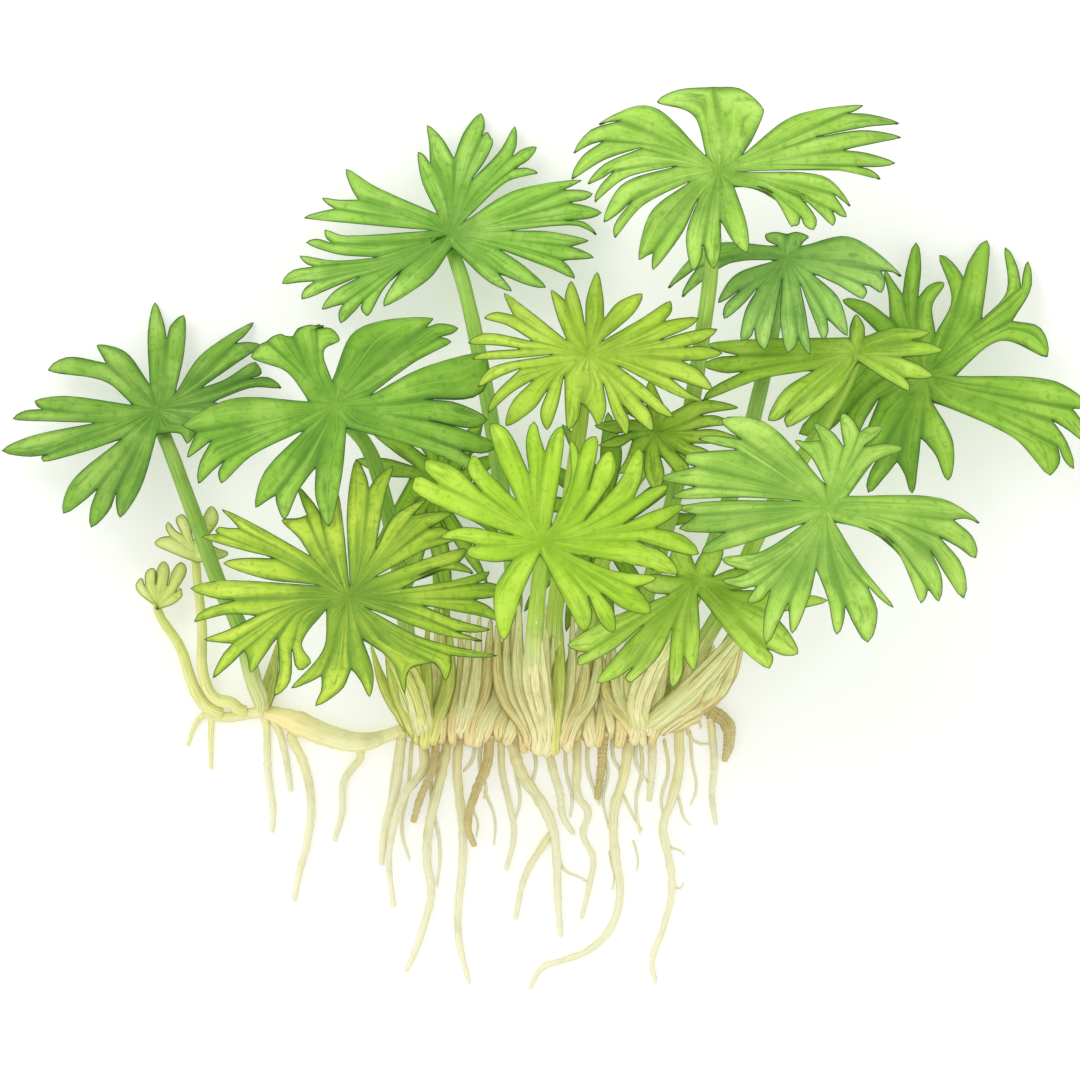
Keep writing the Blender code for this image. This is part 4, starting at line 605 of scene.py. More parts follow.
ROOTS: dict[str, tuple[TubePlan, str]] = {
    "root_runner_long": (TubePlan(
        ((290, 733, 0.9), (293, 741, 0.4), (303, 762, 0.4), (311, 802, 0.4), (307, 843, 0.4), (299, 874, 0.3),
         (294, 902, 0.25)),
        (0.4, 0.4, 0.4, 0.36, 0.34, 0.28, 0.2)), "pale"),
    "root_runner_mid": (TubePlan(
        ((272, 718, 0.6), (278, 729, 0.32), (284, 749, 0.32), (291, 792, 0.25)),
        (0.34, 0.32, 0.3, 0.22)), "pale"),
    "root_runner_first": (TubePlan(
        ((264, 712, 0.6), (266, 724, 0.35), (268, 772, 0.35), (273, 811, 0.3), (272, 833, 0.25)),
        (0.36, 0.35, 0.33, 0.28, 0.2)), "pale"),
    "root_runner_last": (TubePlan(
        ((360, 746, 0.9), (360, 759, 0.35), (354, 766, 0.35), (344, 782, 0.35), (342, 813, 0.3), (334, 842, 0.25)),
        (0.3, 0.34, 0.34, 0.32, 0.28, 0.2)), "pale"),
    "root_left_outer": (TubePlan(
        ((404, 726, 0.8), (402, 738, 0.42), (396, 788, 0.42), (385, 829, 0.38), (381, 866, 0.25)),
        (0.45, 0.42, 0.4, 0.34, 0.22)), "pale"),
    "root_left_crossing": (TubePlan(
        ((423, 730, 0.9), (423, 742, 0.45), (424, 767, 0.5), (405, 794, 1.2), (393, 829, 1.5), (389, 861, 1.3),
         (394, 908, 0.3)),
        (0.45, 0.42, 0.42, 0.36, 0.32, 0.28, 0.22)), "pale"),
    "root_dark": (TubePlan(
        ((438, 730, 1.6), (436, 743, 1.5), (434, 764, 1.5), (420, 799, 0.8), (413, 823, 0.35)),
        (0.36, 0.36, 0.36, 0.32, 0.24)), "dark"),
    "root_left_long": (TubePlan(
        ((447, 730, 0.8), (447, 741, 0.45), (441, 775, 0.45), (432, 812, 0.45), (428, 834, 0.42), (427, 861, 0.4),
         (431, 893, 0.38), (424, 925, 0.35), (414, 954, 0.3), (405, 973, 0.25)),
        (0.46, 0.45, 0.45, 0.42, 0.4, 0.38, 0.35, 0.32, 0.27, 0.2)), "pale"),
    "root_long_wavy": (TubePlan(
        ((459, 728, 0.8), (459, 740, 0.45), (457, 767, 0.45), (460, 802, 0.42), (463, 839, 0.4), (462, 871, 0.38),
         (458, 909, 0.35), (459, 941, 0.3), (464, 963, 0.25), (470, 985, 0.22)),
        (0.44, 0.42, 0.42, 0.4, 0.38, 0.36, 0.32, 0.28, 0.24, 0.18)), "pale"),
    "root_tan": (TubePlan(
        ((489, 732, 1.0), (489, 744, 0.5), (487, 764, 0.8), (476, 791, 1.5), (468, 826, 1.6), (475, 847, 1.2)),
        (0.5, 0.45, 0.45, 0.4, 0.34, 0.26)), "tan"),
    "root_thin": (TubePlan(
        ((500, 732, 0.8), (501, 744, 0.32), (502, 770, 0.32), (510, 807, 0.3), (514, 834, 0.27), (506, 871, 0.22)),
        (0.34, 0.32, 0.3, 0.28, 0.25, 0.18)), "pale"),
    "root_main": (TubePlan(
        ((511, 732, 1.2), (513, 746, 0.5), (521, 772, 0.5), (542, 804, 0.48), (553, 829, 0.45), (556, 850, 0.42),
         (558, 901, 0.35), (561, 938, 0.25)),
        (0.55, 0.5, 0.5, 0.47, 0.42, 0.38, 0.32, 0.2)), "pale"),
    "root_main_fork": (TubePlan(
        ((551, 832, 0.42), (545, 842, 0.35), (526, 874, 0.32), (515, 920, 0.25)),
        (0.3, 0.32, 0.3, 0.2)), "pale"),
    "root_centre": (TubePlan(
        ((547, 738, 0.8), (549, 752, 0.4), (553, 770, 0.4), (560, 794, 0.38), (563, 816, 0.35), (574, 835, 0.25)),
        (0.42, 0.4, 0.38, 0.34, 0.3, 0.2)), "pale"),
    "root_centre_right": (TubePlan(
        ((577, 732, 0.8), (577, 746, 0.4), (577, 764, 0.4), (578, 796, 0.38), (588, 812, 0.35), (583, 834, 0.32),
         (593, 858, 0.3), (590, 882, 0.28), (581, 920, 0.22)),
        (0.4, 0.38, 0.38, 0.35, 0.32, 0.28, 0.26, 0.24, 0.18)), "pale"),
    "root_tan_right": (TubePlan(
        ((604, 731, 0.9), (603, 743, 0.45), (601, 770, 0.42), (597, 800, 0.3)),
        (0.45, 0.42, 0.38, 0.25)), "tan"),
    "root_right_long": (TubePlan(
        ((628, 731, 0.9), (628, 743, 0.45), (624, 775, 0.45), (614, 812, 0.42), (616, 861, 0.4), (620, 887, 0.38),
         (612, 925, 0.35), (590, 949, 0.32), (564, 960, 0.3), (542, 968, 0.28), (529, 990, 0.22)),
        (0.46, 0.44, 0.44, 0.42, 0.38, 0.36, 0.34, 0.3, 0.27, 0.24, 0.18)), "pale"),
    "root_right_short": (TubePlan(
        ((652, 729, 0.9), (652, 741, 0.42), (652, 767, 0.4), (649, 802, 0.28)),
        (0.42, 0.4, 0.36, 0.22)), "pale"),
    "root_far_long": (TubePlan(
        ((679, 727, 0.8), (679, 738, 0.45), (679, 767, 0.45), (671, 802, 0.42), (663, 826, 0.4), (668, 855, 0.38),
         (672, 887, 0.36), (663, 928, 0.33), (652, 962, 0.28), (656, 984, 0.22)),
        (0.46, 0.44, 0.42, 0.4, 0.38, 0.36, 0.32, 0.28, 0.24, 0.18)), "pale"),
    "root_brown": (TubePlan(
        ((700, 706, 0.9), (712, 712, 0.75), (727, 724, 0.7), (729, 742, 0.6), (724, 762, 0.35)),
        (0.5, 0.62, 0.6, 0.5, 0.25)), "dark"),
    "root_right_end": (TubePlan(
        ((710, 716, 0.7), (712, 734, 0.35), (714, 770, 0.33), (712, 796, 0.3), (716, 826, 0.22)),
        (0.34, 0.34, 0.32, 0.28, 0.18)), "pale"),
}

# Hair-fine rootlets as plan points, with their radius in mm; they lie on the floor
HAIRS: tuple[tuple[tuple[Point, ...], float], ...] = (
    (((484, 790), (488, 799), (495, 820), (494, 846)), 0.16),
    (((556, 850), (566, 871), (577, 876), (588, 882)), 0.16),
    (((636, 742), (636, 762), (642, 775), (649, 783)), 0.2),
    (((618, 785), (624, 796), (634, 818), (643, 831)), 0.16),
    (((675, 790), (679, 799), (684, 818), (691, 826)), 0.16),
    (((667, 840), (671, 847), (679, 850), (685, 855)), 0.14),
    (((689, 722), (692, 719), (699, 722), (701, 729)), 0.18),
    (((687, 724), (689, 735), (698, 743), (711, 744)), 0.18),
    (((475, 734), (475, 745), (471, 762), (463, 772)), 0.22),
    (((412, 738), (408, 790), (402, 830), (410, 862)), 0.2),
    (((436, 738), (431, 790), (440, 850), (437, 888)), 0.2),
    (((588, 738), (588, 770), (594, 790), (600, 806)), 0.22),
    (((612, 738), (614, 760), (620, 772), (618, 792)), 0.2),
    (((531, 742), (536, 764), (532, 790), (538, 806)), 0.2),
    (((566, 740), (566, 770), (572, 800), (570, 818)), 0.2),
    (((664, 738), (668, 770), (661, 800), (664, 820)), 0.18),
    (((690, 730), (692, 760), (696, 790), (690, 806)), 0.16),
    (((609, 850), (611, 862), (614, 878), (612, 890)), 0.12),
    (((633, 840), (636, 850), (638, 862), (636, 872)), 0.12),
    (((481, 738), (480, 768), (486, 790), (484, 800)), 0.22),
    (((522, 742), (516, 770), (520, 800), (515, 822)), 0.2),
    (((640, 738), (642, 770), (636, 800), (640, 835)), 0.2),
    (((598, 738), (608, 770), (603, 800), (609, 830)), 0.18),
    (((399, 736), (391, 790), (387, 840), (392, 878)), 0.2),
    (((470, 800), (474, 812), (478, 824), (476, 838)), 0.14),
    (((668, 880), (674, 886), (680, 888), (684, 882)), 0.12),
)

RUNNER = TubePlan(
    ((262, 711, 0.7), (270, 713, 0.75), (298, 723, 1.2), (329, 736, 1.15), (361, 742, 1.05), (386, 736, 0.75),
     (402, 730, 0.7)),
    (0.55, 0.7, 1.2, 1.1, 0.95, 0.65, 0.6),
)
RUNNER_TIP: tuple[TubePlan, ...] = (
    TubePlan(((204, 711, 0.65), (222, 717, 0.6), (253, 713, 0.65), (264, 711, 0.7)), (0.55, 0.5, 0.55, 0.6)),
    TubePlan(((207, 713, 0.5), (199, 719, 0.4), (187, 746, 0.25)), (0.35, 0.3, 0.18)),
    TubePlan(((212, 714, 0.5), (211, 730, 0.4), (211, 770, 0.25)), (0.35, 0.3, 0.18)),
)
BUD_SHEATH: tuple[TubePlan, ...] = (
    TubePlan(((262, 712, 0.9), (256, 690, 1.0), (245, 655, 1.0)), (0.6, 0.75, 0.1)),
    TubePlan(((262, 712, 0.9), (268, 690, 1.0), (279, 637, 1.0)), (0.6, 0.85, 0.1)),
)
ROOTSTOCK = TubePlan(
    ((398, 727, 0.85), (425, 728, 1.2), (462, 726, 1.1), (500, 729, 1.2), (545, 733, 1.5), (592, 728, 1.1),
     (645, 725, 1.3), (685, 720, 0.9), (702, 713, 0.6)),
    (0.85, 1.2, 1.1, 1.2, 1.5, 1.1, 1.3, 0.9, 0.6),
)
ROOT_FULLNESS = 1.15


@dataclass(frozen=True)
class StrapPlan:
    """An old leaf base: a flat ribbed strap that stands on the rootstock.

    Args:
        route: Points as (x, y, height in mm).
        width: Half width in mm at its middle.
        kind: Name of its finish.
    """

    route: Route
    width: float
    kind: str


STRAPS: tuple[StrapPlan, ...] = (
    StrapPlan(((410, 738, 1.0), (406, 722, 2.8), (386, 690, 3.4), (371, 645, 3.5)), 0.8, "green"),
    StrapPlan(((413, 739, 1.2), (412, 722, 3.4), (396, 686, 4.4), (386, 636, 4.7)), 0.7, "green"),
    StrapPlan(((418, 740, 1.4), (418, 722, 3.8), (410, 680, 5.2), (399, 626, 5.6)), 0.7, "green"),
    StrapPlan(((426, 741, 1.4), (426, 722, 3.9), (426, 684, 5.8), (428, 624, 6.4)), 0.75, "green"),
    StrapPlan(((434, 740, 1.3), (436, 722, 3.5), (448, 684, 4.6), (450, 622, 5.0)), 0.7, "green"),
    StrapPlan(((452, 738, 1.0), (452, 720, 2.8), (460, 684, 4.2), (460, 618, 4.4)), 0.75, "tan"),
    StrapPlan(((458, 740, 1.3), (460, 720, 3.4), (466, 684, 4.6), (469, 612, 5.0)), 0.75, "cream"),
    StrapPlan(((464, 741, 1.5), (466, 720, 3.9), (475, 684, 5.2), (480, 614, 5.6)), 0.7, "cream"),
    StrapPlan(((470, 740, 1.3), (474, 720, 3.4), (485, 686, 4.4), (491, 618, 4.8)), 0.75, "tan"),
    StrapPlan(((478, 739, 1.0), (484, 722, 2.8), (497, 692, 3.8), (503, 640, 4.0)), 0.7, "cream"),
    StrapPlan(((532, 744, 1.2), (524, 724, 3.4), (503, 690, 4.8), (497, 622, 5.6)), 0.75, "tan"),
    StrapPlan(((536, 746, 1.5), (530, 724, 4.2), (511, 686, 6.0), (507, 608, 7.0)), 0.8, "cream"),
    StrapPlan(((540, 748, 1.7), (536, 724, 4.9), (521, 684, 7.4), (519, 602, 8.8)), 0.8, "cream"),
    StrapPlan(((544, 748, 1.8), (542, 724, 5.6), (531, 690, 9.4), (527, 640, 12.4)), 0.8, "cream"),
    StrapPlan(((548, 748, 1.8), (548, 724, 5.3), (545, 690, 8.4), (547, 604, 9.6)), 0.8, "cream"),
    StrapPlan(((552, 747, 1.7), (554, 724, 4.8), (558, 690, 7.4), (560, 606, 8.6)), 0.8, "green"),
    StrapPlan(((556, 746, 1.5), (560, 724, 4.2), (569, 688, 6.0), (573, 610, 7.0)), 0.8, "cream"),
    StrapPlan(((560, 744, 1.3), (566, 724, 3.6), (580, 690, 4.9), (587, 616, 5.8)), 0.75, "tan"),
    StrapPlan(((566, 742, 1.1), (576, 724, 3.0), (592, 694, 4.0), (600, 626, 4.6)), 0.7, "cream"),
    StrapPlan(((632, 738, 1.1), (626, 722, 3.0), (609, 698, 3.9), (601, 650, 4.2)), 0.75, "tan"),
    StrapPlan(((636, 740, 1.3), (632, 722, 3.5), (619, 694, 4.9), (613, 644, 5.4)), 0.7, "cream"),
    StrapPlan(((640, 741, 1.4), (638, 722, 3.9), (629, 692, 5.6), (626, 646, 6.4)), 0.7, "cream"),
    StrapPlan(((646, 742, 1.6), (648, 726, 4.2), (656, 706, 6.4), (668, 650, 8.2)), 0.75, "cream"),
    StrapPlan(((650, 742, 1.6), (656, 726, 4.1), (676, 704, 6.0), (692, 648, 7.4)), 0.8, "cream"),
    StrapPlan(((655, 741, 1.4), (666, 724, 3.7), (694, 700, 5.2), (714, 644, 6.2)), 0.8, "tan"),
    StrapPlan(((660, 739, 1.2), (676, 722, 3.2), (708, 696, 4.4), (730, 644, 5.0)), 0.8, "cream"),
    StrapPlan(((664, 737, 1.0), (682, 722, 2.7), (720, 690, 3.5), (740, 642, 3.8)), 0.75, "cream"),
    StrapPlan(((668, 734, 0.9), (690, 718, 2.2), (727, 684, 2.7), (745, 640, 2.8)), 0.65, "tan"),
    StrapPlan(((440, 738, 0.9), (442, 720, 2.4), (446, 692, 3.6), (452, 640, 3.9)), 0.65, "tan"),
    StrapPlan(((486, 741, 1.0), (492, 722, 2.6), (504, 694, 3.7), (511, 636, 4.4)), 0.7, "cream"),
    StrapPlan(((498, 742, 1.0), (503, 722, 2.6), (512, 700, 4.0), (520, 640, 5.0)), 0.7, "tan"),
    StrapPlan(((510, 744, 1.2), (515, 724, 3.2), (522, 700, 4.6), (532, 650, 5.4)), 0.7, "cream"),
    StrapPlan(((522, 745, 1.3), (522, 724, 3.4), (516, 698, 5.2), (512, 640, 6.0)), 0.7, "tan"),
    StrapPlan(((576, 743, 1.0), (576, 724, 3.0), (578, 700, 4.4), (582, 644, 4.8)), 0.7, "tan"),
    StrapPlan(((588, 742, 1.0), (588, 722, 2.6), (588, 698, 3.8), (594, 640, 4.4)), 0.7, "cream"),
    StrapPlan(((600, 741, 0.9), (600, 722, 2.5), (604, 696, 3.6), (610, 640, 4.2)), 0.65, "tan"),
    StrapPlan(((612, 740, 1.0), (610, 722, 2.6), (604, 694, 3.9), (598, 642, 4.6)), 0.65, "cream"),
    StrapPlan(((622, 740, 1.0), (622, 722, 2.8), (620, 696, 4.2), (622, 648, 5.0)), 0.65, "tan"),
)


def place(points: np.ndarray, heights: np.ndarray) -> np.ndarray:
    """World points in metres.

    Args:
        points: Plan points, one row each.
        heights: Height of each in mm.

    Returns:
        One row of x, y and z for each point.
    """
    flat = (points - SHEET_CENTRE) * (UNIT, -UNIT)
    return np.column_stack((flat, heights * MM))


def linear(colour: tuple[float, float, float]) -> tuple[float, float, float, float]:
    """A colour for a shader socket.

    Args:
        colour: sRGB from 0 to 255.

    Returns:
        Linear red, green, blue and alpha.
    """
    parts = np.array(colour) / 255
    low = parts / 12.92
    high = ((parts + 0.055) / 1.055) ** 2.4
    return (*np.where(parts <= 0.04045, low, high), 1.0)


def bezier(corners: tuple[np.ndarray, ...], steps: int) -> np.ndarray:
    """Points of one cubic, its start left out.

    Args:
        corners: The four control points.
        steps: How many points.

    Returns:
        One row for each point.
    """
    t = np.linspace(0, 1, steps + 1)[1:, None]
    start, first, second, end = corners
    return (1 - t) ** 3 * start + 3 * (1 - t) ** 2 * t * first + 3 * (1 - t) * t ** 2 * second + t ** 3 * end


def smooth_route(route: np.ndarray, steps: int) -> np.ndarray:
    """Points of the curve that automatic Bezier handles make through a route.

    Args:
        route: Points to pass through, one row each.
        steps: Points for each stretch between two of them.

    Returns:
        One row for each point, both ends included.
    """
    before = np.vstack((2 * route[0] - route[1], route[:-1]))
    after = np.vstack((route[1:], 2 * route[-1] - route[-2]))
    back, ahead = route - before, after - route
    back_length = np.linalg.norm(back, axis=1, keepdims=True)
    ahead_length = np.linalg.norm(ahead, axis=1, keepdims=True)
    turn = ahead / ahead_length + back / back_length
    size = np.linalg.norm(turn, axis=1, keepdims=True) * 2.5614
    points = [route[:1]]
    for k in range(len(route) - 1):
        first = route[k] + turn[k] * ahead_length[k] / size[k]
        second = route[k + 1] - turn[k + 1] * back_length[k + 1] / size[k + 1]
        points.append(bezier((route[k], first, second, route[k + 1]), steps))
    return np.vstack(points)


class Shaper:
    """Makes meshes with Blender's own tools."""

    @staticmethod
    def grid(name: str, columns: int, rows: int) -> bpy.types.Object:
        """A flat grid from -1 to 1 both ways, with UVs.

        Args:
            name: Object name.
            columns: Faces along X.
            rows: Faces along Y.

        Returns:
            The new object, at the origin.
        """
        bpy.ops.object.select_all(action="DESELECT")
        bpy.ops.mesh.primitive_grid_add(x_subdivisions=columns, y_subdivisions=rows, size=2, calc_uvs=True)
        made = bpy.context.object
        made.name = name
        made.data.name = name
        return made

    @staticmethod
    def read(made: bpy.types.Object) -> np.ndarray:
        """The mesh's points.

        Args:
            made: A mesh object.

        Returns:
            One row of x, y and z for each vertex.
        """
        points = np.empty(len(made.data.vertices) * 3)
        made.data.vertices.foreach_get("co", points)
        return points.reshape(-1, 3)

    @staticmethod
    def write(made: bpy.types.Object, points: np.ndarray) -> None:
        """Moves the mesh's points.

        Args:
            made: A mesh object.
            points: One row of x, y and z for each vertex.
        """
        made.data.vertices.foreach_set("co", np.asarray(points, dtype=np.float64).ravel())
        made.data.update()

    @staticmethod
    def join(name: str, pieces: list[bpy.types.Object], merge: float = 0.000002) -> bpy.types.Object:
        """Joins pieces into the first of them and merges points that meet.

        Args:
            name: Name of the joined object.
            pieces: Mesh objects.
            merge: Merge distance in metres.

        Returns:
            The joined object.
        """
        bpy.ops.object.select_all(action="DESELECT")
        for piece in pieces:
            piece.select_set(True)
        bpy.context.view_layer.objects.active = pieces[0]
        if len(pieces) > 1:
            bpy.ops.object.join()
        joined = bpy.context.object
        joined.name = name
        joined.data.name = name
        bpy.ops.object.mode_set(mode="EDIT")
        bpy.ops.mesh.select_all(action="SELECT")
        bpy.ops.mesh.remove_doubles(threshold=merge)
        bpy.ops.object.mode_set(mode="OBJECT")
        return joined

    @staticmethod
    def finish(made: bpy.types.Object, closed: bool) -> None:
        """Turns the faces outward where the mesh is closed, and shades it smooth.

        Args:
            made: A mesh object.
            closed: Whether the mesh encloses a volume.
        """
        bpy.ops.object.select_all(action="DESELECT")
        made.select_set(True)
        bpy.context.view_layer.objects.active = made
        if closed:
            bpy.ops.object.mode_set(mode="EDIT")
            bpy.ops.mesh.select_all(action="SELECT")
            bpy.ops.mesh.normals_make_consistent(inside=False)
            bpy.ops.object.mode_set(mode="OBJECT")
        bpy.ops.object.shade_smooth()

    @staticmethod
    def floats(made: bpy.types.Object, name: str, values: np.ndarray) -> None:
        """Stores one number for each vertex.

        Args:
            made: A mesh object.
            name: Attribute name.
            values: The numbers.
        """
        layer = made.data.attributes.new(name, "FLOAT", "POINT")
        layer.data.foreach_set("value", np.asarray(values, dtype=np.float32))

    @staticmethod
    def vectors(made: bpy.types.Object, name: str, values: np.ndarray) -> None:
        """Stores one vector for each vertex.

        Args:
            made: A mesh object.
            name: Attribute name.
            values: One row of three numbers for each vertex.
        """
        layer = made.data.attributes.new(name, "FLOAT_VECTOR", "POINT")
        layer.data.foreach_set("vector", np.asarray(values, dtype=np.float32).ravel())


@dataclass(frozen=True)
class Sweep:
    """A tube along a route, whose section may be flat and ribbed.

    Args:
        sides: Faces round it.
        rings: Faces along it.
        flat: Height of the section over its width.
        ribs: How many ribs go round the section.
        rib_depth: Depth of a rib over the radius.
        knots: Unevenness of the radius.
        cap: Part of the length that each rounded end takes.
    """

    sides: int = 12
    rings: int = 48
    flat: float = 1.0
    ribs: int = 0
    rib_depth: float = 0.0
    knots: float = 0.0
    cap: float = 0.02

    def build(self, name: str, plan: TubePlan, seed: float = 0.0) -> bpy.types.Object:
        """The tube as a closed mesh.

        Args:
            name: Object name.
            plan: Route and radii.
            seed: Shifts the unevenness.

        Returns:
            The new object.
        """
        route = np.array(plan.route, dtype=float)
        world = place(route[:, :2], route[:, 2])
        steps = 10
        line = smooth_route(world, steps)
        radii = np.interp(np.linspace(0, len(route) - 1, len(line)), np.arange(len(route)), plan.radii) * MM
        length = np.concatenate(([0], np.cumsum(np.linalg.norm(np.diff(line, axis=0), axis=1))))
        length /= length[-1]
        made = Shaper.grid(name, self.sides, self.rings)
        grid = Shaper.read(made)
        angle = (grid[:, 0] + 1) * math.pi
        along = (grid[:, 1] + 1) / 2
        centre = np.column_stack([np.interp(along, length, line[:, axis]) for axis in range(3)])
        tangent = np.gradient(line, axis=0)
        heading = np.column_stack([np.interp(along, length, tangent[:, axis]) for axis in range(3)])
        heading /= np.linalg.norm(heading, axis=1, keepdims=True)
        side = np.cross(heading, (0.0, 0.0, 1.0))
        side /= np.linalg.norm(side, axis=1, keepdims=True)
        up = np.cross(side, heading)
        radius = np.interp(along, length, radii)
        end = np.clip(np.minimum(along, 1 - along) / self.cap, 0, 1)
        radius = radius * np.sqrt(1 - (1 - end) ** 2)
        if self.knots:
            wave = np.array([noise.noise((seed, a * self.rings * 0.35, 0.0)) for a in along])
            radius = radius * (1 + self.knots * wave)
        radius = radius * (1 + self.rib_depth * np.cos(self.ribs * angle))
        across = (radius * np.cos(angle))[:, None] * side
        high = (radius * np.sin(angle) * self.flat)[:, None] * up
        Shaper.write(made, centre + across + high)
        made = Shaper.join(name, [made])
        Shaper.finish(made, closed=True)
        return made


class NodeSheet:
    """A shader node tree, with short ways to add the nodes that the finishes use.

    Args:
        tree: The node tree of a material or of a group.
    """

    def __init__(self, tree: bpy.types.NodeTree) -> None:
        self.tree = tree

    def put(self, socket: bpy.types.NodeSocket, value: object) -> None:
        """Links or sets an input.

        Args:
            socket: The input.
            value: An output socket, a number or a colour.
        """
        if isinstance(value, bpy.types.NodeSocket):
            self.tree.links.new(value, socket)
        else:
            socket.default_value = value

    def attribute(self, name: str, output: str = "Fac") -> bpy.types.NodeSocket:
        """A stored value.

        Args:
            name: Attribute name.
            output: Which output of the node.

        Returns:
            The output.
        """
        node = self.tree.nodes.new("ShaderNodeAttribute")
        node.attribute_name = name
        return node.outputs[output]

    def uv(self) -> tuple[bpy.types.NodeSocket, bpy.types.NodeSocket]:
        """The two UV coordinates.

        Returns:
            Outputs for round the tube and along it.
        """
        node = self.tree.nodes.new("ShaderNodeUVMap")
        node.uv_map = "UVMap"
        split = self.tree.nodes.new("ShaderNodeSeparateXYZ")
        self.tree.links.new(node.outputs["UV"], split.inputs[0])
        return split.outputs["X"], split.outputs["Y"]

    def noise(
        self, scale: float, detail: float, roughness: float, vector: bpy.types.NodeSocket | None = None
    ) -> bpy.types.NodeSocket:
        """Noise, in the object's own space unless a vector is given.

        Args:
            scale: Noise scale.
            detail: Octaves.
            roughness: Weight of the small octaves.
            vector: What the noise is laid out on.

        Returns:
            The factor output.
        """
        node = self.tree.nodes.new("ShaderNodeTexNoise")
        node.inputs["Scale"].default_value = scale
        node.inputs["Detail"].default_value = detail
        node.inputs["Roughness"].default_value = roughness
        if vector is None:
            vector = self.tree.nodes.new("ShaderNodeTexCoord").outputs["Object"]
        self.tree.links.new(vector, node.inputs["Vector"])
        return node.outputs["Fac"]

    def combine(self, first: object, second: object, third: object) -> bpy.types.NodeSocket:
        """A vector of three values.

        Args:
            first: X.
            second: Y.
            third: Z.

        Returns:
            The vector output.
        """
        node = self.tree.nodes.new("ShaderNodeCombineXYZ")
        for socket, value in zip(node.inputs, (first, second, third)):
            self.put(socket, value)
        return node.outputs[0]

    def math(self, operation: str, first: object, second: object = 0.0) -> bpy.types.NodeSocket:
        """One Math node.

        Args:
            operation: Its operation.
            first: First input.
            second: Second input.

        Returns:
            The output.
        """
        node = self.tree.nodes.new("ShaderNodeMath")
        node.operation = operation
        self.put(node.inputs[0], first)
        self.put(node.inputs[1], second)
        return node.outputs[0]

    def remap(
        self, value: object, source: tuple[object, object], target: tuple[object, object]
    ) -> bpy.types.NodeSocket:
        """Maps a range to another smoothly, held at its ends.

        Args:
            value: Input.
            source: Range of the input.
            target: Range of the output.

        Returns:
            The output.
        """
        node = self.tree.nodes.new("ShaderNodeMapRange")
        node.interpolation_type = "SMOOTHSTEP"
        self.put(node.inputs["Value"], value)
        self.put(node.inputs["From Min"], source[0])
        self.put(node.inputs["From Max"], source[1])
        self.put(node.inputs["To Min"], target[0])
        self.put(node.inputs["To Max"], target[1])
        return node.outputs[0]

    def mix(self, part: object, first: object, second: object) -> bpy.types.NodeSocket:
        """Mixes two colours.

        Args:
            part: How much of the second.
            first: First colour.
            second: Second colour.

        Returns:
            The mixed colour.
        """
        node = self.tree.nodes.new("ShaderNodeMix")
        node.data_type = "RGBA"
        node.clamp_factor = True
        self.put(node.inputs[0], part)
        self.put(node.inputs[6], first)
        self.put(node.inputs[7], second)
        return node.outputs[2]

    def apply(self, effect: Effect, values: dict[str, object]) -> dict[str, bpy.types.NodeSocket]:
        """Adds a shared effect.

        Args:
            effect: Which effect.
            values: Its inputs by name.

        Returns:
            Its outputs by name.
        """
        node = self.tree.nodes.new("ShaderNodeGroup")
        node.node_tree = effect.group()
        for name, value in values.items():
            self.put(node.inputs[name], value)
        return {socket.name: socket for socket in node.outputs}


class Effect(Enum):
    """Paint effects that several materials share. Each is one shader node group."""

    LEAF_WASH = "leaf_wash"
    STEM_WASH = "stem_wash"

    def group(self) -> bpy.types.NodeTree:
        """The effect's node group, built when it is first asked for.

        Returns:
            The node group.
        """
        found = bpy.data.node_groups.get(self.value)
        if found:
            return found
        tree = bpy.data.node_groups.new(self.value, "ShaderNodeTree")
        colours, numbers = EFFECT_INPUTS[self]
        for name in colours:
            tree.interface.new_socket(name=name, in_out="INPUT", socket_type="NodeSocketColor")
        for name in numbers:
            tree.interface.new_socket(name=name, in_out="INPUT", socket_type="NodeSocketFloat")
        tree.interface.new_socket(name="Stroke", in_out="INPUT", socket_type="NodeSocketVector")
        tree.interface.new_socket(name="Color", in_out="OUTPUT", socket_type="NodeSocketColor")
        tree.interface.new_socket(name="Roughness", in_out="OUTPUT", socket_type="NodeSocketFloat")
        tree.interface.new_socket(name="Height", in_out="OUTPUT", socket_type="NodeSocketFloat")
        nodes = NodeSheet(tree)
        given = tree.nodes.new("NodeGroupInput").outputs
        made = leaf_wash(nodes, given) if self is Effect.LEAF_WASH else stem_wash(nodes, given)
        result = tree.nodes.new("NodeGroupOutput")
        for name, value in zip(("Color", "Roughness", "Height"), made):
            nodes.put(result.inputs[name], value)
        return tree


EFFECT_INPUTS: dict[Effect, tuple[tuple[str, ...], tuple[str, ...]]] = {
    Effect.LEAF_WASH: (("Shadow", "Body", "Light"), ("Across", "Outward", "Rim")),
    Effect.STEM_WASH: (
        ("Base", "End", "Line"), ("Turn Start", "Turn End", "Strength", "Side Shade", "Around", "Along"),
    ),
}


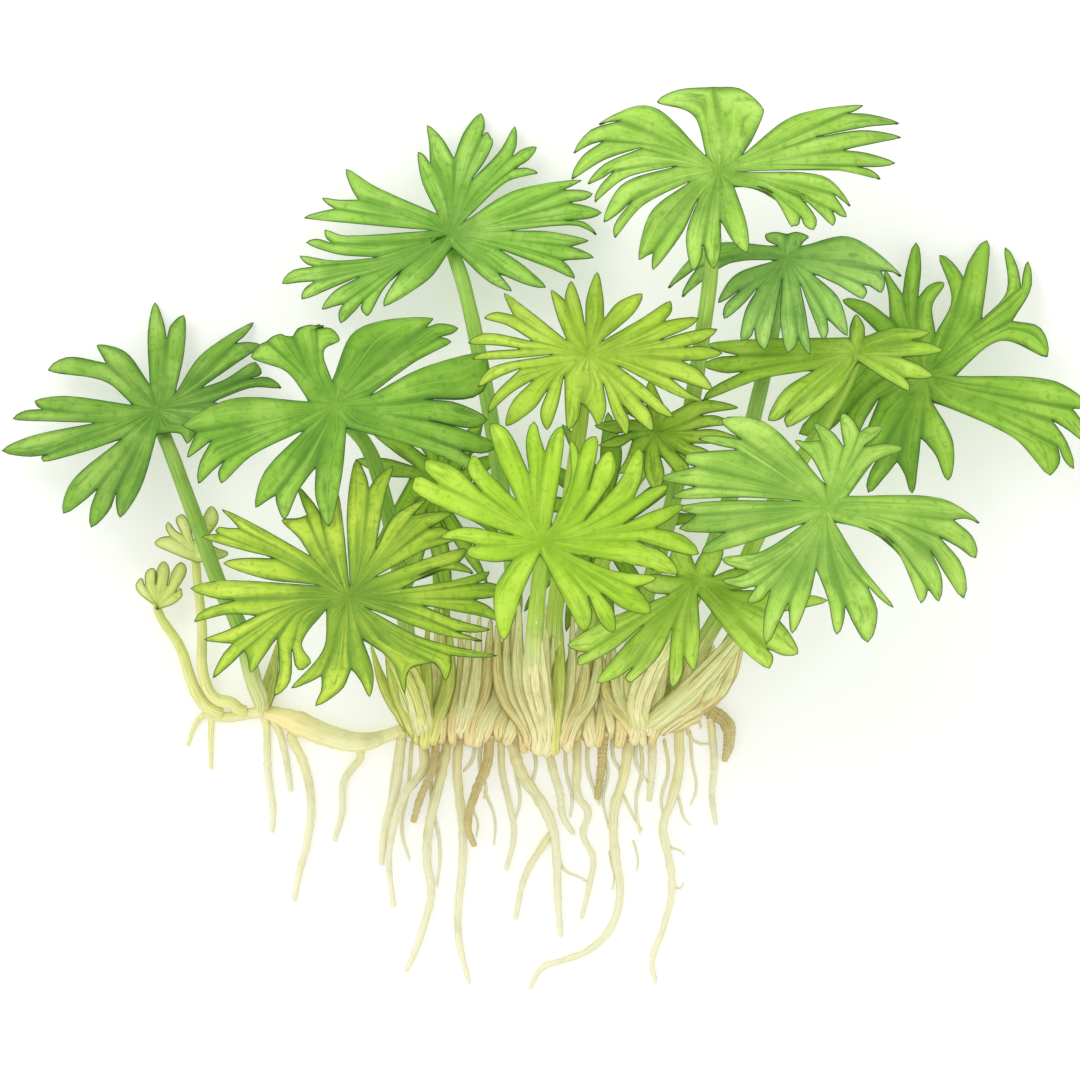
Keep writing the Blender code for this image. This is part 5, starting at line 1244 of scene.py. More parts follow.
def leaf_wash(
    nodes: NodeSheet, given: bpy.types.bpy_prop_collection
) -> tuple[bpy.types.NodeSocket, bpy.types.NodeSocket, bpy.types.NodeSocket]:
    """A leaf's paint: lobe strokes, a darker hub, painted shade in the notches, lighter tips and a fine dark
    outline.

    Args:
        nodes: The group's node tree.
        given: The group's inputs.

    Returns:
        Colour, roughness and bump height.
    """
    across, outward, rim = given["Across"], given["Outward"], given["Rim"]
    wash = nodes.noise(210.0, 3.0, 0.55)
    mottle = nodes.noise(1500.0, 4.0, 0.6)
    stroke = nodes.noise(1.0, 3.0, 0.6, given["Stroke"])
    pool = nodes.noise(95.0, 2.0, 0.5)
    colour = nodes.mix(nodes.remap(wash, (0.42, 0.66), (0.0, 0.6)), given["Body"], given["Light"])
    colour = nodes.mix(nodes.remap(pool, (0.48, 0.68), (0.0, 0.55)), colour, given["Shadow"])
    hub_part = nodes.math(
        "MULTIPLY", nodes.remap(outward, (0.0, 0.5), (0.55, 0.0)), nodes.remap(wash, (0.3, 0.6), (1.1, 0.6))
    )
    colour = nodes.mix(hub_part, colour, given["Shadow"])
    tip_part = nodes.math(
        "MULTIPLY", nodes.remap(outward, (0.4, 1.0), (0.0, 0.5)), nodes.remap(wash, (0.4, 0.62), (0.4, 1.2))
    )
    colour = nodes.mix(tip_part, colour, given["Light"])
    colour = nodes.mix(nodes.remap(stroke, (0.5, 0.7), (0.0, 0.62)), colour, given["Shadow"])
    colour = nodes.mix(nodes.remap(stroke, (0.46, 0.3), (0.0, 0.45)), colour, given["Light"])
    colour = nodes.mix(nodes.remap(mottle, (0.5, 0.74), (0.0, 0.48)), colour, given["Shadow"])
    # Painted shade: near each notch the lobes' sides darken towards the shadow colour, as in the creases between
    # lobes.
    notch = nodes.math(
        "MULTIPLY", nodes.remap(outward, (0.1, 0.34), (0.0, 1.0)), nodes.remap(outward, (0.42, 0.8), (1.0, 0.2))
    )
    notch_shade = nodes.math("MULTIPLY", nodes.remap(across, (0.5, 1.0), (0.0, 0.7)), notch)
    colour = nodes.mix(notch_shade, colour, given["Shadow"])
    midrib = nodes.math(
        "MULTIPLY", nodes.remap(across, (0.0, 0.07), (0.35, 0.0)), nodes.remap(outward, (0.7, 0.95), (1.0, 0.0))
    )
    colour = nodes.mix(midrib, colour, given["Light"])
    colour = nodes.mix(nodes.remap(rim, (0.08, 0.6), (0.35, 0.0)), colour, given["Shadow"])
    ink = nodes.mix(0.62, given["Shadow"], (0.02, 0.035, 0.01, 1.0))
    line = nodes.math(
        "MULTIPLY", nodes.remap(rim, (0.05, 0.17), (0.9, 0.0)), nodes.remap(wash, (0.3, 0.55), (0.7, 1.0))
    )
    colour = nodes.mix(line, colour, ink)
    height = nodes.math("ADD", nodes.math("MULTIPLY", mottle, 0.35), nodes.math("MULTIPLY", stroke, 0.9))
    return colour, nodes.remap(mottle, (0.3, 0.7), (0.52, 0.68)), height


def stem_wash(
    nodes: NodeSheet, given: bpy.types.bpy_prop_collection
) -> tuple[bpy.types.NodeSocket, bpy.types.NodeSocket, bpy.types.NodeSocket]:
    """Paint of a stem, root or sheath: one colour turns into another along it, under fine long lines, with painted
    shade on both sides.

    Args:
        nodes: The group's node tree.
        given: The group's inputs.

    Returns:
        Colour, roughness and bump height.
    """
    turning = nodes.remap(given["Along"], (given["Turn Start"], given["Turn End"]), (0.0, 1.0))
    colour = nodes.mix(turning, given["Base"], given["End"])
    wash = nodes.noise(420.0, 3.0, 0.55)
    broad = nodes.noise(1.6, 3.0, 0.5, given["Stroke"])
    fine = nodes.noise(5.0, 2.0, 0.5, given["Stroke"])
    part = nodes.math("MULTIPLY", nodes.remap(broad, (0.48, 0.68), (0.0, 0.7)), given["Strength"])
    colour = nodes.mix(part, colour, given["Line"])
    part = nodes.math("MULTIPLY", nodes.remap(fine, (0.55, 0.64), (0.0, 0.9)), given["Strength"])
    colour = nodes.mix(part, colour, given["Line"])
    colour = nodes.mix(nodes.remap(wash, (0.5, 0.78), (0.0, 0.25)), colour, given["Line"])
    # Painted shade: the two round sides, as seen from above, darken towards the line colour.
    turn = nodes.math("MULTIPLY", given["Around"], 2 * math.pi)
    side = nodes.math("ABSOLUTE", nodes.math("COSINE", turn))
    part = nodes.math("MULTIPLY", nodes.remap(side, (0.8, 0.98), (0.0, 1.0)), given["Side Shade"])
    colour = nodes.mix(part, colour, given["Line"])
    height = nodes.math("ADD", broad, nodes.math("MULTIPLY", fine, 0.5))
    return colour, nodes.remap(wash, (0.3, 0.7), (0.48, 0.64)), height


def surface(name: str, effect: Effect, values: dict[str, object], depth: float) -> bpy.types.Material:
    """A material that wears one shared effect.

    Args:
        name: Material name.
        effect: The effect.
        values: What fills the effect's inputs: a colour, a number, or an output made for this material.
        depth: Bump distance in metres.

    Returns:
        A procedural material.
    """
    made = bpy.data.materials.new(name)
    made.use_nodes = True
    nodes = NodeSheet(made.node_tree)
    shader = made.node_tree.nodes["Principled BSDF"]
    if effect is Effect.LEAF_WASH:
        place_values = {
            "Across": nodes.attribute("across"), "Outward": nodes.attribute("outward"),
            "Rim": nodes.attribute("rim"), "Stroke": nodes.attribute("stroke", "Vector"),
        }
    else:
        around, along = nodes.uv()
        turn = nodes.math("MULTIPLY", around, 2 * math.pi)
        stroke = nodes.combine(
            nodes.math("MULTIPLY", nodes.math("COSINE", turn), 2.4),
            nodes.math("MULTIPLY", nodes.math("SINE", turn), 2.4),
            nodes.math("MULTIPLY", along, 1.8),
        )
        place_values = {"Around": around, "Along": along, "Stroke": stroke}
    results = nodes.apply(effect, {**values, **place_values})
    nodes.put(shader.inputs["Base Color"], results["Color"])
    nodes.put(shader.inputs["Roughness"], results["Roughness"])
    shader.inputs["Specular IOR Level"].default_value = 0.2
    bump = made.node_tree.nodes.new("ShaderNodeBump")
    bump.inputs["Strength"].default_value = 0.6
    bump.inputs["Distance"].default_value = depth
    nodes.put(bump.inputs["Height"], results["Height"])
    nodes.put(shader.inputs["Normal"], bump.outputs[0])
    return made


@dataclass(frozen=True)
class LeafFinish:
    """A painted leaf.

    Args:
        palette: Shadow, body and light colours.
    """

    palette: Palette

    def material(self, name: str) -> bpy.types.Material:
        """Builds the material.

        Args:
            name: Material name.

        Returns:
            A procedural material.
        """
        shadow, body, light = (linear(colour) for colour in self.palette.value)
        values = {"Shadow": shadow, "Body": body, "Light": light}
        return surface(name, Effect.LEAF_WASH, values, depth=0.00007)


@dataclass(frozen=True)
class StemFinish:
    """A painted stem, root or sheath.

    Args:
        base: sRGB colour at the start of the route.
        end: sRGB colour at its end.
        line: sRGB colour of the lines and of the painted shade on the two sides.
        turn: Parts of the length between which base turns to end.
        strength: How strong the lines are.
        side_shade: How much the two sides are darkened.
    """

    base: tuple[float, float, float]
    end: tuple[float, float, float]
    line: tuple[float, float, float]
    turn: tuple[float, float] = (0.05, 0.5)
    strength: float = 0.5
    side_shade: float = 0.3

    def material(self, name: str) -> bpy.types.Material:
        """Builds the material.

        Args:
            name: Material name.

        Returns:
            A procedural material.
        """
        values = {
            "Base": linear(self.base), "End": linear(self.end), "Line": linear(self.line),
            "Turn Start": self.turn[0], "Turn End": self.turn[1],
            "Strength": self.strength, "Side Shade": self.side_shade,
        }
        return surface(name, Effect.STEM_WASH, values, depth=0.00008)


@dataclass
class LeafBlade:
    """One leaf's blade: a fan of teeth that share their notches, given its thickness downwards.

    Args:
        name: The leaf's name.
        plan: Its plan.
        columns: Faces across a tooth.
        rows: Faces from hub to tip.
        notch_mark: Value that the attribute outward has at the notches. It is 0 at the hub and 1 at the tips.
        pleat: Height of the ridge along each tooth, in mm.
        stroke_scale: How fine the brush strokes along the lobes are.
    """

    name: str
    plan: LeafPlan
    columns: int = 10
    rows: int = 22
    notch_mark: float = 0.36
    pleat: float = 0.2
    stroke_scale: float = 0.5

    def reach(self) -> float:
        """Distance from the hub to the farthest tip, in plan units."""
        return max(math.dist(self.plan.hub, tip) for _, _, tip, _ in self.plan.teeth)

    def height(self, points: np.ndarray) -> np.ndarray:
        """Height of the upper face, as the solid has it.

        Args:
            points: Plan points.

        Returns:
            Heights in mm.
        """
        plan = self.plan
        offset = points - np.array(plan.hub)
        part = np.linalg.norm(offset, axis=1) / self.reach()
        arch = plan.lift * 4 * part * (1 - part) - plan.droop * part ** 2
        slope = (plan.lean * offset[:, 1] + plan.roll * offset[:, 0]) * UNIT / MM
        return plan.height + slope + arch - self.drop()

    def drop(self) -> float:
        """How far a resting blade was lowered so that its lowest point meets the floor, in mm."""
        if self.name not in RESTING_LEAVES:
            return 0.0
        plan = self.plan
        corners = np.array([point for tooth in plan.teeth for point in tooth] + [plan.hub], dtype=float)
        offset = corners - np.array(plan.hub)
        part = np.linalg.norm(offset, axis=1) / self.reach()
        arch = plan.lift * 4 * part * (1 - part) - plan.droop * part ** 2
        slope = (plan.lean * offset[:, 1] + plan.roll * offset[:, 0]) * UNIT / MM
        return float((plan.height + slope + arch).min() - BLADE_THICKNESS)

    def roundness(self) -> float:
        """How blunt the tips of the teeth are."""
        return 0.3 if self.name in BLUNT_LEAVES else 0.19

    def bends(self) -> list[np.ndarray]:
        """For each notch, the point that its rail bends towards."""
        plan = self.plan
        hub = np.array(plan.hub, dtype=float)
        notches = [np.array(tooth[0], dtype=float) for tooth in plan.teeth]
        reach = sum(math.dist(plan.hub, tooth[2]) for tooth in plan.teeth) / len(plan.teeth)
        deep = [math.dist(plan.hub, notch) < DEEP_NOTCH * reach for notch in notches]
        count = len(notches)
        points = []
        for index, notch in enumerate(notches):
            bend = (hub + notch) / 2
            if not deep[index] and sum(deep) > 1:
                before = next(notches[index - k] for k in range(count) if deep[index - k])
                after = next(notches[(index + k) % count] for k in range(count) if deep[(index + k) % count])
                bend = (bend + (before + after) / 2) / 2
            points.append(np.array(plan.bends.get(index, bend), dtype=float))
        return points

    def inner_rows(self, bends: list[np.ndarray]) -> list[int]:
        """For each notch, how many rows of faces lie between the hub and the notch.

        Args:
            bends: The bends of all the notches.

        Returns:
            Numbers of rows, which follow the lengths inside and outside the notch.
        """
        teeth = self.plan.teeth
        counts = []
        for index, (notch, left, tip, _) in enumerate(teeth):
            _, _, last_tip, last_right = teeth[index - 1]
            inside = math.dist(self.plan.hub, bends[index]) + math.dist(bends[index], notch)
            outside = math.dist(notch, left) + math.dist(left, tip)
            outside += math.dist(notch, last_right) + math.dist(last_right, last_tip)
            part = inside / (inside + outside / 2)
            counts.append(min(max(round(self.rows * part), 4), self.rows - 6))
        return counts

    def rail(self, notch: np.ndarray, bend: np.ndarray, arched: bool) -> np.ndarray:
        """The rail from the hub to a notch.

        Args:
            notch: Its plan point.
            bend: A point that it passes.
            arched: Whether it runs straight to the bend and turns there, or bends all the way.

        Returns:
            Plan points.
        """
        hub = np.array(self.plan.hub, dtype=float)
        t = np.linspace(0, 1, 13)[:, None]
        if arched:
            start, end = hub + 0.65 * (bend - hub), bend + 0.35 * (notch - bend)
            turn = (1 - t) ** 2 * start + 2 * t * (1 - t) * bend + t ** 2 * end
            return np.vstack((hub, turn, notch))
        control = 2 * bend - (hub + notch) / 2
        return (1 - t) ** 2 * hub + 2 * t * (1 - t) * control + t ** 2 * notch

    @staticmethod
    def side(
        notch: np.ndarray, shoulder: np.ndarray, tip: np.ndarray, other: np.ndarray, roundness: float
    ) -> np.ndarray:
        """The edge of a tooth from its notch by its shoulder to its tip.

        Args:
            notch: Plan point of the notch.
            shoulder: Plan point of the shoulder.
            tip: Plan point of the tip.
            other: Shoulder on the tooth's other side.
            roundness: How blunt the tip is.

        Returns:
            Plan points.
        """
        axis = tip - (shoulder + other) / 2
        axis = axis / (np.linalg.norm(axis) or 1.0)
        across = shoulder - other
        square = across - axis * (across @ axis)
        width = np.linalg.norm(square) or 1.0
        square = square / width
        run = (tip - notch) / (np.linalg.norm(tip - notch) or 1.0)
        first, second = np.linalg.norm(shoulder - notch), np.linalg.norm(tip - shoulder)
        blunt = min(width * roundness, second * 0.4, 6.0)
        lower = bezier((notch, notch + (shoulder - notch) * 0.33, shoulder - run * first * 0.3, shoulder), 8)
        upper = bezier(
            (shoulder, shoulder + run * second * 0.35, tip + square * blunt - axis * blunt * 0.2, tip), 10
        )
        return np.vstack((notch[None], lower, upper))

    def strip(self, index: int, bends: list[np.ndarray], inside: list[int]) -> tuple[np.ndarray, np.ndarray]:
        """Both long edges of a tooth's strip, from the hub to its tip.

        Args:
            index: Which tooth.
            bends: The bends of all the notches.
            inside: How many rows lie inside each notch.

        Returns:
            Left and right edge as plan points, evenly spaced in row number.
        """
        following = (index + 1) % len(self.plan.teeth)
        notch, left, tip, right = (np.array(point, dtype=float) for point in self.plan.teeth[index])
        next_notch = np.array(self.plan.teeth[following][0], dtype=float)
        edges = []
        for start, number, shoulder, other in ((notch, index, left, right), (next_notch, following, right, left)):
            rail = self.rail(start, bends[number], number in self.plan.bends)
            inner = self.resample(rail, inside[number])
            outer = self.side(start, shoulder, tip, other, self.roundness())
            outer = self.resample(outer, self.rows - len(inner) + 1)
            edges.append(np.vstack((inner, outer[1:])))
        return edges[0], edges[1]

    @staticmethod
    def resample(line: np.ndarray, steps: int) -> np.ndarray:
        """Evenly spaced points on a line.

        Args:
            line: Plan points.
            steps: Stretches between the new points.

        Returns:
            Plan points.
        """
        length = np.concatenate(([0], np.cumsum(np.linalg.norm(np.diff(line, axis=0), axis=1))))
        where = np.linspace(0, length[-1], steps + 1)
        return np.column_stack([np.interp(where, length, line[:, axis]) for axis in range(2)])

    def build(self) -> bpy.types.Object:
        """Shapes the blade.

        Returns:
            The new object, with the attributes across, outward and rim.
        """
        bends = self.bends()
        inside = self.inner_rows(bends)
        teeth = []
        count = len(self.plan.teeth)
        for index in range(count):
            left, right = self.strip(index, bends, inside)
            tooth = Shaper.grid(f"{self.name}_tooth_{index}", self.columns, self.rows)
            grid = Shaper.read(tooth)
            u, v = (grid[:, 0] + 1) / 2, (grid[:, 1] + 1) / 2
            row = np.clip(np.round(v * self.rows).astype(int), 0, self.rows)
            plan = left[row] * (1 - u[:, None]) + right[row] * u[:, None]
            offset = np.abs(2 * u - 1)
            notch = (inside[index] * (1 - u) + inside[(index + 1) % count] * u) / self.rows
            free = np.clip((v - notch) / (1 - notch), 0, 1)
            outward = self.notch_mark * np.clip(v / notch, 0, 1) + (1 - self.notch_mark) * free
            grown = np.clip((outward - 0.12) / 0.4, 0, 1)
            rise = self.pleat * (1 - offset ** 2) * grown * np.clip((1 - outward) / 0.2, 0, 1) ** 0.5
            tilt = 0.14 * math.sin(index * 2.4) * free
            Shaper.write(tooth, place(plan, self.height(plan) + rise + tilt))
            Shaper.floats(tooth, "across", offset)
            Shaper.floats(tooth, "outward", outward)
            turn = 2 * math.pi * (index + u) / count
            swirl = count * self.stroke_scale
            stroke = np.column_stack((np.cos(turn) * swirl, np.sin(turn) * swirl, outward * 2.2))
            Shaper.vectors(tooth, "stroke", stroke)
            teeth.append(tooth)
        blade = Shaper.join(self.name + "_leaf", teeth)
        Shaper.floats(blade, "rim", self.rim(blade))
        thicken = blade.modifiers.new("thickness", "SOLIDIFY")
        thicken.thickness = BLADE_THICKNESS * 0.8 * MM
        thicken.offset = -1
        bpy.ops.object.modifier_apply(modifier=thicken.name)
        Shaper.finish(blade, closed=False)
        return blade

    def rim(self, blade: bpy.types.Object) -> np.ndarray:
        """Distance in mm from each vertex to the blade's edge.

        Args:
            blade: The flat blade.

        Returns:
            One number for each vertex.
        """
        lines = []
        for index, (notch, left, tip, right) in enumerate(self.plan.teeth):
            next_notch = self.plan.teeth[(index + 1) % len(self.plan.teeth)][0]
            for start, shoulder, other in ((notch, left, right), (next_notch, right, left)):
                corners = [np.array(point, dtype=float) for point in (start, shoulder, tip, other)]
                lines.append(self.resample(self.side(*corners, self.roundness()), 40))
        edge = np.vstack(lines)
        plan = Shaper.read(blade)[:, :2] / (UNIT, -UNIT) + SHEET_CENTRE
        nearest = np.full(len(plan), 1e9)
        for part in np.array_split(np.arange(len(plan)), max(1, len(plan) // 1500)):
            gap = np.linalg.norm(plan[part][:, None] - edge[None], axis=2)
            nearest[part] = gap.min(axis=1)
        return nearest * UNIT / MM

    def dress(self, blade: bpy.types.Object) -> None:
        """Gives the blade its finish and its place in the frame.

        Args:
            blade: The built blade.
        """
        blade.data.materials.clear()
        blade.data.materials.append(LeafFinish(self.plan.palette).material(self.name + "_paint"))
        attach(blade, "root")
        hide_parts(self.name + "_blade")


@dataclass
class Stalk:
    """A leaf's stalk, from the crown to the underside of the blade.

    Args:
        blade: The blade that it carries.
    """

    blade: LeafBlade

    def plan(self) -> TubePlan:
        """The stalk's route and radii, its sheath included."""
        leaf = self.blade.plan
        young = self.blade.name in YOUNG_LEAVES
        base, middle, neck = YOUNG_STALK_RADII if young else STALK_RADII
        root = YOUNG_SHEATH_RADII if young else SHEATH_RADII
        if self.blade.name == "leaf_left":
            root = RUNNER_SHEATH_RADII
        sheath = leaf.sheath[:-1]
        end = (leaf.hub[0], leaf.hub[1] + HUB_SETBACK)
        top = float(self.blade.height(np.array([end], dtype=float))[0])
        free = (*leaf.stalk, (*end, top - BLADE_THICKNESS - NECK - neck))
        route = (*sheath, *free, (leaf.hub[0], leaf.hub[1] - 3, top - 0.5))
        along = np.linspace(0, 1, len(free))
        radii = (*root[:len(sheath)], *np.interp(along, (0, 0.5, 1), (base, middle, neck)), neck * 0.8)
        return TubePlan(route, radii)

    def build(self) -> bpy.types.Object:
        """Shapes the stalk."""
        sweep = Sweep(sides=16, rings=56, ribs=7, rib_depth=0.035, knots=0.05, cap=0.012)
        return sweep.build(self.blade.name + "_stem", self.plan())

    def turn(self) -> tuple[float, float]:
        """Parts of the stalk's length between which its pale base turns green."""
        if self.blade.name in RUNNER_LEAVES:
            return 0.0, 0.3
        route = np.array(self.plan().route, dtype=float)
        steps = np.linalg.norm(np.diff(route * (UNIT / MM, UNIT / MM, 1.0), axis=0), axis=1)
        length = np.concatenate(([0.0], np.cumsum(steps)))
        start, end = np.interp(-np.array(GREENING), -route[:, 1], length) / length[-1]
        return float(start), float(max(end, start + 0.05))

    def dress(self, stalk: bpy.types.Object) -> None:
        """Gives the stalk its finish and its place in the frame.

        Args:
            stalk: The built stalk.
        """
        shadow, body, light = self.blade.plan.palette.value
        if self.blade.name in YOUNG_LEAVES:
            finish = StemFinish((244, 242, 166), (222, 228, 134), (150, 156, 70), turn=(0.1, 0.9), strength=0.4)
        else:
            pale = tuple((3 * part + end) / 4 for part, end in zip(body, (235, 240, 170)))
            finish = StemFinish((240, 238, 172), pale, shadow, turn=self.turn(), strength=0.5)
        stalk.data.materials.append(finish.material(self.blade.name + "_stem_paint"))
        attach(stalk, "root")
        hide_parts(self.blade.name + "_stalk")


class RootKind(Enum):
    """Finishes of the roots."""

    PALE = StemFinish((244, 238, 178), (248, 246, 212), (176, 172, 100), turn=(0.0, 0.5), strength=0.35)
    TAN = StemFinish((228, 212, 152), (216, 202, 140), (146, 128, 74), turn=(0.1, 0.8), strength=0.5)
    DARK = StemFinish((208, 190, 130), (220, 206, 146), (134, 110, 62), turn=(0.1, 0.8), strength=0.5)


ROOT_KINDS = {"pale": RootKind.PALE, "tan": RootKind.TAN, "dark": RootKind.DARK}


@dataclass
class Roots:
    """All the roots, and the hair-fine rootlets that stay out of the solids."""

    def build(self) -> list[bpy.types.Object]:
        """Shapes and dresses every root.

        Returns:
            The new objects.
        """
        paints = {kind: ROOT_KINDS[kind].value.material(kind + "_root_paint") for kind in ROOT_KINDS}
        made = []
        for number, (name, (plan, kind)) in enumerate(ROOTS.items()):
            route = tuple((x, y, height * ROOT_FULLNESS) for x, y, height in plan.route)
            full = TubePlan(route, tuple(radius * ROOT_FULLNESS for radius in plan.radii))
            root = Sweep(sides=12, rings=90, knots=0.22, cap=0.015).build(name + "_skin", full, seed=number * 3.7)
            root.data.materials.append(paints[kind])
            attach(root, "root")
            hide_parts(name)
            made.append(root)
        for number, (points, radius) in enumerate(HAIRS):
            route = tuple((x, y, radius + 0.02) for x, y in points)
            radii = tuple(radius * part for part in (1.0, 0.95, 0.85, 0.6))
            hair = Sweep(sides=8, rings=30, knots=0.2, cap=0.03).build(
                f"rootlet_{number}", TubePlan(route, radii), seed=50 + number
            )
            hair.data.materials.append(paints["pale"])
            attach(hair, "root")
            made.append(hair)
        return made


class StrapKind(Enum):
    """Finishes of the old leaf bases and sheaths."""

    # The last value of each sets the painted shade along both sides of the strap.
    CREAM = StemFinish((255, 246, 190), (252, 250, 186), (164, 148, 76), turn=(0.1, 0.7), strength=0.6, side_shade=0.75)
    TAN = StemFinish((250, 232, 168), (248, 238, 164), (160, 136, 74), turn=(0.1, 0.7), strength=0.65, side_shade=0.75)
    GREEN = StemFinish((242, 238, 146), (214, 228, 108), (128, 138, 54), turn=(0.1, 0.8), strength=0.6, side_shade=0.75)


STRAP_KINDS = {"cream": StrapKind.CREAM, "tan": StrapKind.TAN, "green": StrapKind.GREEN}


@dataclass
class Crown:
    """The rootstock, its old leaf bases, the runner and the bud's sheath.

    Args:
        hug: How far the parts of a sheath stand from the middle of their stalk, in plan units.
        sheath_end: Where along the sheet these parts end, in plan units.
        leap: How much these ends differ.
    """

    hug: float = 8.0
    sheath_end: float = 622.0
    leap: float = 14.0

    @staticmethod
    def stock_at(x: float) -> tuple[float, float, float]:
        """The rootstock's middle, height and half width at one place.

        Args:
            x: Plan x.

        Returns:
            Plan y of its middle, height of its middle in mm and half width in mm.
        """
        places = np.array(ROOTSTOCK.route)
        middle = float(np.interp(x, places[:, 0], places[:, 1]))
        height = float(np.interp(x, places[:, 0], places[:, 2])) * 2
        return middle, height, float(np.interp(x, places[:, 0], ROOTSTOCK.radii))

    def over_stock(self, strap: StrapPlan) -> StrapPlan:
        """Leads the foot of an old leaf base over the rootstock's front.

        Args:
            strap: Its plan.

        Returns:
            The plan with a new foot.
        """
        x, turn = strap.route[0][0], strap.route[1][0]
        middle, height, half = self.stock_at(x)
        sway, reach, girth = (math.sin(x * pace) for pace in (2.3, 1.7, 0.9))
        foot = (
            (x + 4 * sway, middle + 10 * half + 2 + 7 * reach, height * 0.5),
            (x + 2 * sway, middle + 7 * half + 3 * reach, height + (1.3 + 0.2 * girth) * half),
            ((x + turn) / 2, middle - half, height + 2 * half + 0.3),
        )
        rise = max(strap.route[2][2], height + 1.6 * half)
        width = strap.width * (1 + 0.22 * girth)
        return StrapPlan((*foot, (*strap.route[2][:2], rise), strap.route[3]), width, strap.kind)

    def sheath_parts(self) -> list[StrapPlan]:
        """Three thin parts of a sheath round each stalk that rises from the crown.

        Returns:
            Their plans.
        """
        plans = []
        for number, (name, leaf) in enumerate(LEAVES.items()):
            if name in RUNNER_LEAVES:
                continue
            rise = np.array((*leaf.sheath[:-1], *leaf.stalk, (*leaf.hub, leaf.height)), dtype=float)
            for way in (-1, 0, 1):
                top = self.sheath_end + self.leap * math.sin(number * 2.3 + way * 1.7)
                rows = np.array((leaf.sheath[0][1], 706.0, 672.0, top))
                x = np.interp(-rows, -rise[:, 1], rise[:, 0])
                height = np.interp(-rows, -rise[:, 1], rise[:, 2])
                run = np.gradient(np.column_stack((x, -rows, height * MM / UNIT)), axis=0)
                run /= np.linalg.norm(run, axis=1, keepdims=True)
                lift = np.array((0.0, 0.0, 1.0)) - run * run[:, 2:]
                lift /= np.linalg.norm(lift, axis=1, keepdims=True)
                away = self.hug * (1.25 if way == 0 else 0.45)
                x = x + way * self.hug * np.array((0.5, 0.9, 1.0, 0.7)) + lift[:, 0] * away
                y = rows - lift[:, 1] * away
                height = height + lift[:, 2] * away * UNIT / MM
                route = tuple(zip(x, y, np.maximum(height, 1.0)))
                kind = "green" if name in ("leaf_upper_left", "leaf_lower_left") else "cream"
                plans.append(StrapPlan(route, 0.5, kind))
        return plans

    def build_straps(self) -> list[bpy.types.Object]:
        """Shapes and dresses the old leaf bases and the sheath halves.

        Returns:
            The new objects.
        """
        paints = {kind: STRAP_KINDS[kind].value.material(kind + "_strap_paint") for kind in STRAP_KINDS}
        made = []
        bases = [self.over_stock(strap) for strap in STRAPS]
        for number, strap in enumerate((*bases, *self.sheath_parts())):
            steps = np.linspace(0, 1, len(strap.route))
            radii = tuple(strap.width * np.interp(steps, (0, 0.3, 0.7, 1), (0.6, 0.85, 1.0, 0.2)))
            piece = Sweep(sides=18, rings=44, flat=0.5, ribs=4, rib_depth=0.08, knots=0.08, cap=0.03).build(
                f"leaf_base_{number}", TubePlan(strap.route, radii), seed=20 + number
            )
            piece.data.materials.append(paints[strap.kind])
            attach(piece, "root")
            made.append(piece)
        return made

    def build_rootstock(self) -> bpy.types.Object:
        """Shapes and dresses the rootstock.

        Returns:
            The new object.
        """
        route = tuple((x, y, 1.8 * height) for x, y, height in ROOTSTOCK.route)
        slim = tuple(radius * 0.9 for radius in ROOTSTOCK.radii)
        stock = Sweep(sides=28, rings=140, flat=2.0, ribs=9, rib_depth=0.06, knots=0.25, cap=0.03).build(
            "rootstock_body", TubePlan(route, slim), seed=9.1
        )
        finish = StemFinish((246, 234, 164), (246, 232, 168), (170, 146, 86), strength=0.6)
        stock.data.materials.append(finish.material("rootstock_paint"))
        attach(stock, "root")
        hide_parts("rootstock")
        return stock

    def build_runner(self) -> list[bpy.types.Object]:
        """Shapes and dresses the runner and its thin end.

        Returns:
            The new objects.
        """
        runner = Sweep(sides=20, rings=80, ribs=4, rib_depth=0.03, knots=0.06, cap=0.03).build(
            "runner_body", RUNNER, seed=4.4
        )
        finish = StemFinish((255, 241, 176), (251, 249, 194), (160, 152, 66), (0.2, 0.6), strength=0.18, side_shade=0.15)
        runner.data.materials.append(finish.material("runner_paint"))
        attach(runner, "root")
        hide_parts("runner")
        tips = [
            Sweep(sides=14, rings=50, knots=0.1, cap=0.03).build(f"runner_tip_{number}", plan, seed=60 + number)
            for number, plan in enumerate(RUNNER_TIP)
        ]
        tip = Shaper.join("runner_end", tips)
        finish = StemFinish((248, 244, 176), (246, 244, 182), (166, 164, 84), strength=0.35)
        tip.data.materials.append(finish.material("runner_end_paint"))
        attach(tip, "root")
        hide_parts("runner_tip")
        return [runner, tip]

    def build_bud(self) -> bpy.types.Object:
        """Shapes and dresses the pointed sheath at the runner's node.

        Returns:
            The new object.
        """
        leaves = [
            Sweep(sides=20, rings=50, flat=0.5, ribs=5, rib_depth=0.06, cap=0.03).build(f"sheath_{number}", plan)
            for number, plan in enumerate(BUD_SHEATH)
        ]
        sheath = Shaper.join("bud_scales", leaves)
        # The last value sets the painted shade along both sides of the scales.
        finish = StemFinish((214, 216, 124), (196, 208, 112), (116, 120, 50), strength=0.7, side_shade=0.7)
        sheath.data.materials.append(finish.material("bud_scales_paint"))
        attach(sheath, "root")
        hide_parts("bud_sheath")
        return sheath

    def build(self) -> list[bpy.types.Object]:
        """Shapes and dresses all the pieces.

        Returns:
            The new objects.
        """
        return [self.build_rootstock(), *self.build_straps(), *self.build_runner(), self.build_bud()]


